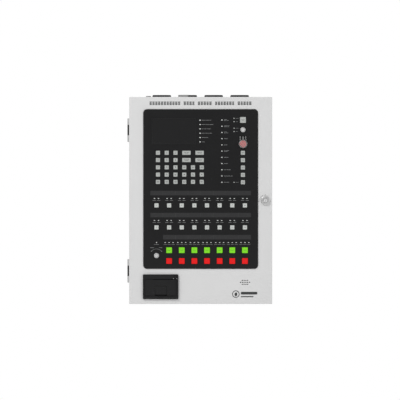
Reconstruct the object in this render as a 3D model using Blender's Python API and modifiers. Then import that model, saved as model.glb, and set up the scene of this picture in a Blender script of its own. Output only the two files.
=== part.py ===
"""Wall-mounted fire alarm control panel, built as separate pieces.

A steel box holds the power supply, main board and two batteries. Its door carries the black fascia with
the display, keys and key switches, and also a paper printer, a speaker and a cam lock.

Units are metres. X runs to the right, Z up, and -Y out of the wall towards the user. The origin is the
centre of the box's back face, which lies on the wall.
"""

import math

import bmesh
import bpy
from mathutils import Matrix

# Cabinet
CABINET_WIDTH = 0.380
CABINET_HEIGHT = 0.550
BOX_DEPTH = 0.100
DOOR_DEPTH = 0.028
SHEET = 0.0015
FLANGE = 0.008
SEAM = 0.001
GAP = 0.0003
HALF_WIDTH = CABINET_WIDTH / 2
HALF_HEIGHT = CABINET_HEIGHT / 2
BOX_FRONT = -BOX_DEPTH
DOOR_BACK = BOX_FRONT - SEAM
DOOR_FRONT = DOOR_BACK - DOOR_DEPTH
DOOR_INSIDE = DOOR_FRONT + SHEET

# Fascia on the door
FASCIA_WIDTH = 0.305
FASCIA_HEIGHT = 0.424
FASCIA_CENTRE_Z = 0.0304
FASCIA_CORNER = 0.010
FASCIA_THICKNESS = 0.0015
FASCIA_LAP = 0.004
FASCIA_BACK = DOOR_FRONT - GAP
FASCIA_FRONT = FASCIA_BACK - FASCIA_THICKNESS

# Display
DISPLAY_X = -0.07085
DISPLAY_Z = 0.18365
DISPLAY_WIDTH = 0.117
DISPLAY_HEIGHT = 0.068
DISPLAY_MARGIN = 0.007
DISPLAY_LIP = 0.005

# Boards
BOARD_THICKNESS = 0.0016
DISPLAY_BOARD_FRONT = FASCIA_BACK + 0.0083
DISPLAY_BOARD_WIDTH = 0.290
DISPLAY_BOARD_HEIGHT = 0.408
DISPLAY_BOARD_CORNER = 0.003
MODULE_CORNER = 0.0015
BOARD_HOLE_MARGIN = 0.0006

# Keys
KEY_CLEARANCE = 0.0003
KEY_PROUD = 0.002
KEY_LIP = 0.0014
KEY_FLANGE_THICKNESS = 0.001
KEY_STEM = 0.006
KEY_STEM_LENGTH = 0.0045
KEY_BEVEL = 0.0006
SMALL_KEY = 0.0112
ZONE_KEY = 0.0114
WIDE_KEY = 0.0227
LARGE_KEY = 0.0155
SQUARE_KEY = 0.0158
KEYPAD_COLUMNS = 6
KEYPAD_ROWS = 5
KEYPAD_LEFT = -0.1133
KEYPAD_TOP = 0.1265
KEYPAD_PITCH_X = 0.02326
KEYPAD_PITCH_Z = 0.0193
WIDE_ROWS = 2
WIDE_KEY_FIRST_X = -0.0377
WIDE_KEY_PITCH = 0.035
MAT_MARGIN = 0.003
MAT_THICKNESS = 0.0012
FUNCTION_KEYS = 5
FUNCTION_X = 0.11225
FUNCTION_TOP = 0.1264
FUNCTION_PITCH = 0.01952
ZONE_COUNT = 8
ZONE_LEFT = -0.1172
ZONE_PITCH = 0.03354
ZONE_ROWS_Z = (-0.0131, -0.0716)
CONTROL_COUNT = 7
START_Z = -0.1321
STOP_Z = -0.1608
SQUARE_KEY_X = 0.1124
SQUARE_KEY_Z = 0.2137

# Key switches, each a fixed barrel and a turning plug
SWITCHES = {"silence": (0.1124, 0.1877), "mode": (-0.1172, -0.1464)}
SWITCH_REST = {"silence": 0.0, "mode": math.radians(-48.5)}
SWITCH_HEAD_RADIUS = 0.0067
SWITCH_HEAD_HEIGHT = 0.0030
SWITCH_BODY_RADIUS = 0.0054
SWITCH_BODY_LENGTH = 0.020
SWITCH_PLUG_RADIUS = 0.0040
KEY_SLOT_WIDTH = 0.0012
KEY_SLOT_LENGTH = 0.0056

# Guarded button
GUARD_X = 0.1125
GUARD_Z = 0.1501
GUARD_RADIUS = 0.0116
GUARD_WALL = 0.0007
GUARD_COLLAR_RADIUS = 0.0106
GUARD_BORE = 0.0094
GUARD_NECK = 0.0100
GUARD_HINGE_RISE = 0.0175
GUARD_HINGE_OUT = 0.0030
GUARD_KNUCKLE_X = 0.0039
GUARD_KNUCKLE_WIDTH = 0.0024
GUARD_PIN = 0.0008
GUARD_PRONG_TOP = 0.0200
GUARD_PRONG_FRONT = 0.0054
GUARD_PRONG_BACK = 0.0017
GUARD_SIDE_PRONG_X = 0.0072
GUARD_SIDE_PRONG_WIDTH = 0.0027
GUARD_SIDE_PRONG_START = 0.0093
GUARD_MIDDLE_PRONG_WIDTH = 0.0044
GUARD_MIDDLE_PRONG_START = 0.0111
GUARD_STRIP_THICKNESS = 0.0007
GUARD_KNUCKLE_ROUND = 0.0012
GUARD_PIN_LENGTH = 0.0180
EMERGENCY_RADIUS = 0.0090

# Cam lock
LOCK_X = 0.1722
LOCK_Z = -0.0004
LOCK_HEAD_RADIUS = 0.0120
LOCK_HEAD_HEIGHT = 0.0055
LOCK_BODY_RADIUS = 0.0075
LOCK_BODY_LENGTH = 0.026
LOCK_PLUG_RADIUS = 0.0052
LOCK_TAIL_RADIUS = 0.0027
LOCK_TAIL_LENGTH = 0.0375
LOCK_SLOT_WIDTH = 0.0013
LOCK_SLOT_LENGTH = 0.0070
CAM_LENGTH = 0.0135
CAM_WIDTH = 0.0090
CAM_THICKNESS = 0.0018
CAM_CORNER = 0.0025
CAM_FRONT = BOX_FRONT + 0.0050

# Hinges on the left side
HINGE_X = -0.1904
HINGE_Y = -0.1005
HINGE_CENTRES = {"upper": 0.187, "lower": -0.187}
HINGE_LENGTH = 0.0626
HINGE_END = 0.0170
HINGE_MIDDLE = 0.0270
HINGE_END_RADIUS = 0.0045
HINGE_MIDDLE_RADIUS = 0.0034
HINGE_PIN_RADIUS = 0.0015
HINGE_BORE_RADIUS = 0.0018
LEAF_THICKNESS = 0.0020
FRAME_LEAF_REACH = 0.028
DOOR_LEAF_REACH = 0.022
PIN_INSET = 0.001
LEAF_OUTSIDE = -HALF_WIDTH + SHEET + GAP
NOTCH_DEPTH = 0.0050
NOTCH_MARGIN = 0.0007
NOTCH_HALF = 0.0062

# Printer in the door
PRINTER_X = -0.1064
PRINTER_Z = -0.2289
BEZEL_WIDTH = 0.0936
BEZEL_HEIGHT = 0.0650
BEZEL_DEPTH = 0.0050
BEZEL_CORNER = 0.003
HOUSING_WIDTH = 0.0880
HOUSING_HEIGHT = 0.0600
HOUSING_BACK = -0.0860
HOUSING_WALL = 0.0012
BAY_LEFT = -0.1490
BAY_RIGHT = -0.0644
BAY_TOP = -0.2086
BAY_BOTTOM = -0.2560
BAY_DEPTH = 0.009
ROLL_BAY_TOP = -0.2005
SCOOP_RADIUS = 0.0155
SCOOP_RISE = 0.0135
FLAP_LEFT = -0.1485
FLAP_RIGHT = -0.0649
FLAP_TOP = -0.2089
FLAP_BOTTOM = -0.2536
FLAP_THICKNESS = 0.0030
FLAP_RECESS = 0.0012
FLAP_AXIS_Z = -0.2508
FLAP_PIN_RADIUS = 0.0012
FLAP_PIN_REACH = 0.0016
FLAP_PIN_LENGTH = 0.0040
SLOT_LEFT = -0.1264
SLOT_RIGHT = -0.0721
SLOT_BOTTOM = -0.2110
LEVER_LEFT = -0.1209
LEVER_RIGHT = -0.0901
LEVER_TOP = -0.2274
LEVER_BOTTOM = -0.2503
LEVER_THICKNESS = 0.0022
LEVER_AXIS_Z = LEVER_TOP - 0.0016
LEVER_PIN_REACH = 0.0015
LEVER_PIN_RADIUS = 0.0007
ROLLER_RADIUS = 0.0040
ROLLER_Z = -0.2140
ROLLER_BEHIND_FLAP = 0.0052
ROLLER_LEFT = -0.1290
ROLLER_RIGHT = -0.0700
ROLLER_SHAFT = 0.0015
ROLLER_SHAFT_REACH = 0.0020
EAR_THICKNESS = 0.0020
EAR_LENGTH = 0.0080
EAR_BELOW = 0.0045
EAR_ABOVE = 0.0038
ROLL_RADIUS = 0.0170
ROLL_CORE = 0.0060
ROLL_WIDTH = 0.0570
ROLL_Y = -0.1055
ROLL_Z = BAY_BOTTOM + ROLL_RADIUS + 0.0004
FEED_X = -0.0672
FEED_Z = -0.2037
FEED_RADIUS = 0.0036

# Speaker behind a group of holes
SPEAKER_X = 0.1178
SPEAKER_Z = -0.2176
SPEAKER_RADIUS = 0.0285
SPEAKER_HOLE = 0.0012
SPEAKER_PITCH = 0.0048
SPEAKER_ROW_PITCH = 0.0052

# Cable entries in the top
ENTRY_FIRST_X = -0.1035
ENTRY_PITCH = 0.0691
ENTRY_COUNT = 4
ENTRY_Y = -0.050
ENTRY_RADIUS = 0.0250
ENTRY_HOLE = 0.0220
ENTRY_HEIGHT = 0.0050
EARTH_BOSS_X = -0.1390
EARTH_BOSS_RADIUS = 0.00675
EARTH_BOSS_HEIGHT = 0.0025

# Wall fixing keyholes
KEYHOLE_X = 0.150
KEYHOLE_Z = 0.215
KEYHOLE_RADIUS = 0.0055
KEYHOLE_SLOT = 0.0028
KEYHOLE_RISE = 0.010

# Units inside the box
BACKPLATE_WIDTH = 0.352
BACKPLATE_TOP = 0.196
BACKPLATE_BOTTOM = -0.266
BACKPLATE_BACK = -0.0085
BACKPLATE_FRONT = BACKPLATE_BACK - SHEET
TRAY_FRONT = -0.0795
TRAY_LIP = 0.012
FOOT_X = 0.155
FOOT_INSET = 0.02
FOOT_MIDDLE_Z = -0.04
FOOT_RADIUS = 0.005
BATTERY_WIDTH = 0.151
BATTERY_HEIGHT = 0.094
BATTERY_DEPTH = 0.065
BATTERY_X = 0.0845
BATTERY_STAND_OFF = 0.0015
BATTERY_EDGE = 0.0012
TAB_X = 0.0604
TAB_WIDTH = 0.0064
TAB_THICKNESS = 0.0013
TAB_FROM_BACK = 0.0143
TAB_RISE = 0.006
MAIN_BOARD_WIDTH = 0.330
MAIN_BOARD_BOTTOM = -0.128
MAIN_BOARD_TOP = 0.052
BOARD_STAND_OFF = 0.006
MAIN_BOARD_BACK = BACKPLATE_FRONT - BOARD_STAND_OFF
POST_X = 0.1518
POST_RADIUS = 0.003
POST_ABOVE_BOTTOM = 0.008
POST_BELOW_TOP = 0.024
TERMINAL_X = 0.1023
TERMINAL_LENGTH = 0.092
TERMINAL_MARGIN = 0.003
TERMINAL_HEIGHT = 0.011
TERMINAL_DEPTH = 0.012
SUPPLY_LEFT = -0.165
SUPPLY_RIGHT = 0.050
SUPPLY_BOTTOM = 0.074
SUPPLY_TOP = 0.184
SUPPLY_DEPTH = 0.045
SUPPLY_SHEET = 0.0012
OVERLAP = 0.0005
BORE_STEPS = 24


def clear_scene():
    for obj in list(bpy.data.objects):
        bpy.data.objects.remove(obj, do_unlink=True)


def new_collection(name):
    collection = bpy.data.collections.new(name)
    bpy.context.scene.collection.children.link(collection)
    return collection


def finish(name, colour, roughness, metallic=0.0, alpha=1.0):
    material = bpy.data.materials.new(name)
    material.use_nodes = True
    shader = material.node_tree.nodes["Principled BSDF"]
    shader.inputs["Base Color"].default_value = (*colour, 1.0)
    shader.inputs["Roughness"].default_value = roughness
    shader.inputs["Metallic"].default_value = metallic
    shader.inputs["Alpha"].default_value = alpha
    return material


clear_scene()
PARTS = new_collection("fire_alarm_control_panel")
CUTTERS = new_collection("cutters")

POWDER_COAT = finish("powder_coat", (0.69, 0.69, 0.69), 0.55)
BLACK_FILM = finish("black_film", (0.018, 0.018, 0.019), 0.45)
BLACK_PLASTIC = finish("black_plastic", (0.020, 0.020, 0.021), 0.50)
BLACK_RUBBER = finish("black_rubber", (0.075, 0.075, 0.075), 0.75)
KEY_GREY = finish("key_grey", (0.58, 0.60, 0.58), 0.45)
KEY_GREEN = finish("key_green", (0.24, 0.78, 0.03), 0.40)
KEY_RED = finish("key_red", (0.93, 0.013, 0.013), 0.40)
BRIGHT_METAL = finish("bright_metal", (0.66, 0.66, 0.66), 0.30, 1.0)
ZINC = finish("zinc_plate", (0.55, 0.56, 0.57), 0.40, 1.0)
HINGE_GREY = finish("hinge_grey", (0.48, 0.48, 0.48), 0.45, 0.3)
CLEAR_COVER = finish("clear_cover", (0.33, 0.33, 0.33), 0.25, 0.0, 0.6)
DISPLAY_GLASS = finish("display_glass", (0.024, 0.024, 0.025), 0.15)
BOARD_GREEN = finish("board_green", (0.02, 0.13, 0.05), 0.55)
BATTERY_GREY = finish("battery_grey", (0.09, 0.09, 0.10), 0.60)
PAPER = finish("paper", (0.82, 0.81, 0.78), 0.85)


def block(bm, low, high):
    """Adds a box between two corners."""
    size = [b - a for a, b in zip(low, high)]
    centre = [(a + b) / 2 for a, b in zip(low, high)]
    place = Matrix.Translation(centre) @ Matrix.Diagonal((*size, 1.0))
    return bmesh.ops.create_cube(bm, size=1.0, matrix=place)["verts"]


def rod(bm, start, length, radius, axis, steps=BORE_STEPS):
    """Adds a cylinder that runs along one axis from start."""
    turns = {"X": Matrix.Rotation(math.pi / 2, 4, "Y"), "Y": Matrix.Rotation(-math.pi / 2, 4, "X")}
    along = {"X": (length / 2, 0, 0), "Y": (0, length / 2, 0), "Z": (0, 0, length / 2)}[axis]
    place = Matrix.Translation(start) @ Matrix.Translation(along) @ turns.get(axis, Matrix.Identity(4))
    return bmesh.ops.create_cone(
        bm, cap_ends=True, segments=steps, radius1=radius, radius2=radius, depth=length, matrix=place
    )["verts"]


def panel(bm, centre_x, centre_z, width, height, back, front, corner=0.0, steps=4):
    """Adds an upright plate whose front faces -Y, with round corners where a corner radius is given."""
    verts = block(
        bm,
        (centre_x - width / 2, front, centre_z - height / 2),
        (centre_x + width / 2, back, centre_z + height / 2),
    )
    if corner:
        edges = {edge for vert in verts for edge in vert.link_edges}
        upright = [e for e in edges if abs(e.verts[0].co.y - e.verts[1].co.y) > abs(back - front) / 2]
        bmesh.ops.bevel(bm, geom=upright, offset=corner, segments=steps, affect="EDGES", profile=0.5)
    return verts


def add_object(name, bm, origin, material, collection):
    mesh = bpy.data.meshes.new(name)
    bmesh.ops.translate(bm, verts=bm.verts, vec=[-value for value in origin])
    bm.to_mesh(mesh)
    bm.free()
    obj = bpy.data.objects.new(name, mesh)
    obj.location = origin
    collection.objects.link(obj)
    if material:
        mesh.materials.append(material)
    return obj


def part(name, bm, origin, material):
    return add_object(name, bm, origin, material, PARTS)


def tool(name, bm):
    """Keeps a shape that only cuts or joins."""
    obj = add_object(name, bm, (0.0, 0.0, 0.0), None, CUTTERS)
    return as_tool(obj)


def as_tool(obj):
    obj.hide_render = True
    obj.display_type = "WIRE"
    return obj


def combine(target, other, operation):
    modifier = target.modifiers.new(other.name, "BOOLEAN")
    modifier.operation = operation
    modifier.solver = "EXACT"
    modifier.object = other
    return target


def cut(target, other):
    return combine(target, other, "DIFFERENCE")


def join(target, other):
    return combine(target, other, "UNION")


def turned(name, profile, origin, facing, material, steps=32, ring=False, collection=None):
    """Turns a profile of (radius, height) points, with the height along the way it faces."""
    mesh = bpy.data.meshes.new(name)
    bm = bmesh.new()
    verts = [bm.verts.new((radius, 0.0, height)) for radius, height in profile]
    for first, second in zip(verts, verts[1:]):
        bm.edges.new((first, second))
    if ring:
        bm.edges.new((verts[-1], verts[0]))
    bm.to_mesh(mesh)
    bm.free()
    obj = bpy.data.objects.new(name, mesh)
    obj.location = origin
    obj.rotation_euler = {
        "front": (math.pi / 2, 0.0, 0.0),
        "right": (0.0, math.pi / 2, 0.0),
        "up": (0.0, 0.0, 0.0),
    }[facing]
    (collection or PARTS).objects.link(obj)
    if material:
        mesh.materials.append(material)
    screw = obj.modifiers.new("turn", "SCREW")
    screw.axis = "Z"
    screw.angle = 2 * math.pi
    screw.steps = steps
    screw.render_steps = steps
    screw.use_merge_vertices = True
    screw.merge_threshold = 0.00001
    return obj


# Box and what is fixed in it


def make_back_box():
    bm = bmesh.new()
    block(bm, (-HALF_WIDTH, BOX_FRONT, -HALF_HEIGHT), (HALF_WIDTH, 0.0, HALF_HEIGHT))
    front = min(bm.faces, key=lambda face: face.calc_center_median().y)
    bmesh.ops.inset_region(bm, faces=[front], thickness=FLANGE, use_even_offset=True)
    bmesh.ops.delete(bm, geom=[front], context="FACES")
    box = part("back_box", bm, (0.0, 0.0, 0.0), POWDER_COAT)
    shell = box.modifiers.new("sheet", "SOLIDIFY")
    shell.thickness = SHEET
    shell.offset = -1.0
    shell.use_even_offset = True

    boss = bmesh.new()
    rod(boss, (EARTH_BOSS_X, ENTRY_Y, HALF_HEIGHT - SHEET / 2), EARTH_BOSS_HEIGHT + SHEET / 2,
        EARTH_BOSS_RADIUS, "Z")
    join(box, tool("earth_boss_tool", boss))

    holes = bmesh.new()
    for index in range(ENTRY_COUNT):
        x = ENTRY_FIRST_X + index * ENTRY_PITCH
        rod(holes, (x, ENTRY_Y, HALF_HEIGHT - 2 * SHEET), 4 * SHEET, ENTRY_HOLE, "Z", 32)
    cut(box, tool("entry_holes", holes))
    for side in (-1, 1):
        for level in (-1, 1):
            make_keyhole(box, side * KEYHOLE_X, level * KEYHOLE_Z)
    for place, centre in HINGE_CENTRES.items():
        cut(box, hinge_notch(f"box_notch_{place}", centre))
    return box


def make_keyhole(box, x, z):
    bm = bmesh.new()
    rod(bm, (x, -2 * SHEET, z), 4 * SHEET, KEYHOLE_RADIUS, "Y", 16)
    hole = tool(f"keyhole_{x:.3f}_{z:.3f}", bm)
    slot = bmesh.new()
    panel(slot, x, z + KEYHOLE_RISE / 2, 2 * KEYHOLE_SLOT, KEYHOLE_RISE, 2 * SHEET, -2 * SHEET)
    join(hole, tool(f"keyslot_{x:.3f}_{z:.3f}", slot))
    cut(box, hole)


def hinge_notch(name, centre):
    bm = bmesh.new()
    reach = HINGE_LENGTH / 2 + NOTCH_MARGIN
    block(
        bm,
        (-HALF_WIDTH - SHEET, HINGE_Y - NOTCH_HALF + NOTCH_MARGIN, centre - reach),
        (-HALF_WIDTH + NOTCH_DEPTH, HINGE_Y + NOTCH_HALF, centre + reach),
    )
    return tool(name, bm)


def make_cable_plugs():
    rise = ENTRY_HEIGHT
    grip = -SHEET - GAP
    profile = [
        (0.0, rise * 0.55),
        (ENTRY_RADIUS * 0.38, rise * 0.55),
        (ENTRY_RADIUS * 0.44, rise),
        (ENTRY_RADIUS * 0.95, rise),
        (ENTRY_RADIUS, rise * 0.35),
        (ENTRY_RADIUS, GAP),
        (ENTRY_HOLE - GAP, GAP),
        (ENTRY_HOLE - GAP, grip),
        (ENTRY_RADIUS * 0.95, grip),
        (ENTRY_RADIUS * 0.90, grip - rise * 0.7),
        (0.0, grip - rise * 0.7),
    ]
    for index in range(ENTRY_COUNT):
        place = (ENTRY_FIRST_X + index * ENTRY_PITCH, ENTRY_Y, HALF_HEIGHT)
        turned(f"cable_plug_{index + 1}", profile, place, "up", BLACK_RUBBER, 28)


def make_backplate():
    bm = bmesh.new()
    block(
        bm,
        (-BACKPLATE_WIDTH / 2, BACKPLATE_FRONT, BACKPLATE_BOTTOM),
        (BACKPLATE_WIDTH / 2, BACKPLATE_BACK, BACKPLATE_TOP),
    )
    plate = part("backplate", bm, (0.0, BACKPLATE_BACK, 0.0), ZINC)
    tray = bmesh.new()
    block(
        tray,
        (-BACKPLATE_WIDTH / 2, TRAY_FRONT, BACKPLATE_BOTTOM),
        (BACKPLATE_WIDTH / 2, BACKPLATE_BACK - OVERLAP, BACKPLATE_BOTTOM + SHEET),
    )
    join(plate, tool("battery_shelf", tray))
    lip = bmesh.new()
    block(
        lip,
        (-BACKPLATE_WIDTH / 2, TRAY_FRONT - SHEET, BACKPLATE_BOTTOM),
        (BACKPLATE_WIDTH / 2, TRAY_FRONT + OVERLAP, BACKPLATE_BOTTOM + TRAY_LIP),
    )
    join(plate, tool("battery_lip", lip))
    feet = bmesh.new()
    foot_back = -SHEET - GAP
    for x in (-FOOT_X, FOOT_X):
        for z in (BACKPLATE_BOTTOM + FOOT_INSET, FOOT_MIDDLE_Z, BACKPLATE_TOP - FOOT_INSET):
            rod(feet, (x, BACKPLATE_BACK - OVERLAP, z), foot_back - BACKPLATE_BACK + OVERLAP, FOOT_RADIUS,
                "Y", 12)
    return join(plate, tool("backplate_feet", feet))


def make_main_board():
    front = MAIN_BOARD_BACK - BOARD_THICKNESS
    bm = bmesh.new()
    block(
        bm,
        (-MAIN_BOARD_WIDTH / 2, front, MAIN_BOARD_BOTTOM),
        (MAIN_BOARD_WIDTH / 2, MAIN_BOARD_BACK, MAIN_BOARD_TOP),
    )
    board = part("main_board", bm, (0.0, MAIN_BOARD_BACK, 0.0), BOARD_GREEN)
    extras = bmesh.new()
    for x in (-POST_X, 0.0, POST_X):
        for z in (MAIN_BOARD_BOTTOM + POST_ABOVE_BOTTOM, MAIN_BOARD_TOP - POST_BELOW_TOP):
            rod(extras, (x, MAIN_BOARD_BACK - OVERLAP, z), BOARD_STAND_OFF - GAP + OVERLAP, POST_RADIUS,
                "Y", 8)
    for x in (-TERMINAL_X, 0.0, TERMINAL_X):
        top = MAIN_BOARD_TOP - TERMINAL_MARGIN
        block(
            extras,
            (x - TERMINAL_LENGTH / 2, front - TERMINAL_DEPTH, top - TERMINAL_HEIGHT),
            (x + TERMINAL_LENGTH / 2, front + OVERLAP, top),
        )
    return join(board, tool("board_posts_and_terminals", extras))


def make_power_supply():
    back = BACKPLATE_FRONT - GAP
    bm = bmesh.new()
    block(bm, (SUPPLY_LEFT, back - SUPPLY_DEPTH, SUPPLY_BOTTOM), (SUPPLY_RIGHT, back, SUPPLY_TOP))
    bmesh.ops.delete(bm, geom=[rear_face(bm)], context="FACES")
    centre = ((SUPPLY_LEFT + SUPPLY_RIGHT) / 2, back, (SUPPLY_BOTTOM + SUPPLY_TOP) / 2)
    supply = part("power_supply", bm, centre, ZINC)
    shell = supply.modifiers.new("sheet", "SOLIDIFY")
    shell.thickness = SUPPLY_SHEET
    shell.offset = -1.0
    shell.use_even_offset = True
    return supply


def make_batteries():
    back = BACKPLATE_FRONT - BATTERY_STAND_OFF
    floor = BACKPLATE_BOTTOM + SHEET + GAP
    for name, x in (("battery_left", -BATTERY_X), ("battery_right", BATTERY_X)):
        bm = bmesh.new()
        block(
            bm,
            (x - BATTERY_WIDTH / 2, back - BATTERY_DEPTH, floor),
            (x + BATTERY_WIDTH / 2, back, floor + BATTERY_HEIGHT),
        )
        bmesh.ops.bevel(bm, geom=bm.edges[:], offset=BATTERY_EDGE, segments=1, affect="EDGES")
        battery = part(name, bm, (x, back, floor), BATTERY_GREY)
        tabs = bmesh.new()
        for side in (-1, 1):
            left = x + side * TAB_X - TAB_WIDTH / 2
            tab_back = back - TAB_FROM_BACK
            block(
                tabs,
                (left, tab_back - TAB_THICKNESS, floor + BATTERY_HEIGHT - OVERLAP),
                (left + TAB_WIDTH, tab_back, floor + BATTERY_HEIGHT + TAB_RISE),
            )
        join(battery, tool(f"{name}_tabs", tabs))


# Hinges


def leaf_plate(bm, centre, half, near, far):
    block(
        bm,
        (LEAF_OUTSIDE, min(near, far), centre - half),
        (LEAF_OUTSIDE + LEAF_THICKNESS, max(near, far), centre + half),
    )


def make_hinge(place, centre):
    origin = (HINGE_X, HINGE_Y, centre)
    half = HINGE_LENGTH / 2
    frame_edge = HINGE_Y + HINGE_END_RADIUS - OVERLAP
    bm = bmesh.new()
    leaf_plate(bm, centre, half, frame_edge, HINGE_Y + FRAME_LEAF_REACH)
    frame_leaf = part(f"hinge_{place}_frame_leaf", bm, origin, HINGE_GREY)
    for sign in (-1, 1):
        end_centre = centre + sign * (half - HINGE_END / 2)
        arm = bmesh.new()
        leaf_plate(arm, end_centre, HINGE_END / 2, HINGE_Y, frame_edge + OVERLAP)
        join(frame_leaf, tool(f"hinge_{place}_arm_{sign}", arm))
        round_end = HINGE_END_RADIUS * 0.35
        top, bottom = HINGE_END / 2, -HINGE_END / 2
        profile = [(0.0, top), (HINGE_END_RADIUS, top), (HINGE_END_RADIUS, bottom), (0.0, bottom)]
        if sign > 0:
            profile[1:2] = [(HINGE_END_RADIUS - round_end, top), (HINGE_END_RADIUS, top - round_end)]
        else:
            profile[2:3] = [(HINGE_END_RADIUS, bottom + round_end), (HINGE_END_RADIUS - round_end, bottom)]
        knuckle = turned(f"hinge_{place}_knuckle_{sign}", profile, (HINGE_X, HINGE_Y, end_centre), "up",
                         None, 24, collection=CUTTERS)
        join(frame_leaf, as_tool(knuckle))
    bore = bmesh.new()
    rod(bore, (HINGE_X, HINGE_Y, centre - half - OVERLAP), 2 * (half + OVERLAP), HINGE_BORE_RADIUS, "Z", 16)
    bore_tool = tool(f"hinge_{place}_bore", bore)
    cut(frame_leaf, bore_tool)

    door_edge = HINGE_Y - HINGE_END_RADIUS - 2 * GAP
    bm = bmesh.new()
    leaf_plate(bm, centre, half, door_edge, HINGE_Y - DOOR_LEAF_REACH)
    door_leaf = part(f"hinge_{place}_door_leaf", bm, origin, BLACK_PLASTIC)
    arm = bmesh.new()
    leaf_plate(arm, centre, HINGE_MIDDLE / 2, HINGE_Y, door_edge - OVERLAP)
    join(door_leaf, tool(f"hinge_{place}_door_arm", arm))
    knuckle = bmesh.new()
    rod(knuckle, (HINGE_X, HINGE_Y, centre - HINGE_MIDDLE / 2), HINGE_MIDDLE, HINGE_MIDDLE_RADIUS, "Z")
    join(door_leaf, tool(f"hinge_{place}_door_knuckle", knuckle))
    cut(door_leaf, bore_tool)

    pin_half = half - PIN_INSET
    profile = [
        (0.0, pin_half),
        (HINGE_PIN_RADIUS, pin_half),
        (HINGE_PIN_RADIUS, -pin_half),
        (0.0, -pin_half),
    ]
    turned(f"hinge_{place}_pin", profile, origin, "up", BRIGHT_METAL, 16)


# Door and fascia


def make_door():
    bm = bmesh.new()
    block(bm, (-HALF_WIDTH, DOOR_FRONT, -HALF_HEIGHT), (HALF_WIDTH, DOOR_BACK, HALF_HEIGHT))
    bmesh.ops.delete(bm, geom=[rear_face(bm)], context="FACES")
    door = part("door", bm, (HINGE_X, HINGE_Y, 0.0), POWDER_COAT)
    shell = door.modifiers.new("sheet", "SOLIDIFY")
    shell.thickness = SHEET
    shell.offset = -1.0
    shell.use_even_offset = True

    openings = bmesh.new()
    through = (DOOR_FRONT + 2 * SHEET, DOOR_FRONT - SHEET)
    panel(openings, 0.0, FASCIA_CENTRE_Z, FASCIA_WIDTH - 2 * FASCIA_LAP, FASCIA_HEIGHT - 2 * FASCIA_LAP,
          *through, corner=FASCIA_CORNER - FASCIA_LAP)
    panel(openings, PRINTER_X, PRINTER_Z, HOUSING_WIDTH + 2 * GAP, HOUSING_HEIGHT + 2 * GAP, *through)
    rod(openings, (LOCK_X, through[1], LOCK_Z), through[0] - through[1], LOCK_BODY_RADIUS + GAP, "Y")
    for row, count in ((-1, 4), (0, 6), (1, 4)):
        for index in range(count):
            x = SPEAKER_X + (index - (count - 1) / 2) * SPEAKER_PITCH
            z = SPEAKER_Z + row * SPEAKER_ROW_PITCH
            rod(openings, (x, through[1], z), through[0] - through[1], SPEAKER_HOLE, "Y", 10)
    cut(door, tool("door_openings", openings))
    for place, centre in HINGE_CENTRES.items():
        cut(door, hinge_notch(f"door_notch_{place}", centre))
    return door


def keypad_keys():
    """Gives each keypad key as (x, z, width)."""
    keys = []
    for row in range(KEYPAD_ROWS):
        z = KEYPAD_TOP - row * KEYPAD_PITCH_Z
        small = KEYPAD_COLUMNS // 2 if row < WIDE_ROWS else KEYPAD_COLUMNS
        keys += [(KEYPAD_LEFT + column * KEYPAD_PITCH_X, z, SMALL_KEY) for column in range(small)]
        if row < WIDE_ROWS:
            keys += [(WIDE_KEY_FIRST_X + index * WIDE_KEY_PITCH, z, WIDE_KEY) for index in range(2)]
    return keys


def zone_keys():
    """Gives each zone key as (x, z, width)."""
    return [(ZONE_LEFT + index * ZONE_PITCH, z, ZONE_KEY) for z in ZONE_ROWS_Z for index in range(ZONE_COUNT)]


def single_keys():
    """Gives each key that is its own piece as name: (x, z, width, material)."""
    keys = {"square_key": (SQUARE_KEY_X, SQUARE_KEY_Z, SQUARE_KEY, KEY_GREY)}
    for index in range(FUNCTION_KEYS):
        z = FUNCTION_TOP - index * FUNCTION_PITCH
        keys[f"function_key_{index + 1}"] = (FUNCTION_X, z, SMALL_KEY, KEY_GREY)
    for index in range(CONTROL_COUNT):
        x = ZONE_LEFT + (index + 1) * ZONE_PITCH
        keys[f"start_key_{index + 1}"] = (x, START_Z, LARGE_KEY, KEY_GREEN)
        keys[f"stop_key_{index + 1}"] = (x, STOP_Z, LARGE_KEY, KEY_RED)
    return keys


def make_fascia():
    bm = bmesh.new()
    panel(bm, 0.0, FASCIA_CENTRE_Z, FASCIA_WIDTH, FASCIA_HEIGHT, FASCIA_BACK, FASCIA_FRONT, FASCIA_CORNER, 5)
    fascia = part("fascia", bm, (0.0, FASCIA_BACK, FASCIA_CENTRE_Z), BLACK_FILM)
    holes = bmesh.new()
    through = (FASCIA_BACK + FASCIA_THICKNESS, FASCIA_FRONT - FASCIA_THICKNESS)
    length = through[0] - through[1]
    panel(holes, DISPLAY_X, DISPLAY_Z, DISPLAY_WIDTH, DISPLAY_HEIGHT, *through)
    for x, z, width in keypad_keys():
        panel(holes, x, z, width + 2 * KEY_CLEARANCE, SMALL_KEY + 2 * KEY_CLEARANCE, *through)
    for x, z, width in zone_keys():
        panel(holes, x, z, width + 2 * KEY_CLEARANCE, width + 2 * KEY_CLEARANCE, *through)
    for x, z, width, _ in single_keys().values():
        panel(holes, x, z, width + 2 * KEY_CLEARANCE, width + 2 * KEY_CLEARANCE, *through)
    for x, z in SWITCHES.values():
        rod(holes, (x, through[1], z), length, SWITCH_BODY_RADIUS + GAP, "Y", 24)
    rod(holes, (GUARD_X, through[1], GUARD_Z), length, GUARD_NECK + GAP, "Y", 28)
    return cut(fascia, tool("fascia_holes", holes))


def extrude(bm, face):
    """Extrudes a face in place and removes the old one, which would stay inside the solid."""
    made = bmesh.ops.extrude_face_region(bm, geom=[face])["geom"]
    bm.faces.remove(face)
    return next(item for item in made if isinstance(item, bmesh.types.BMFace))


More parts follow.
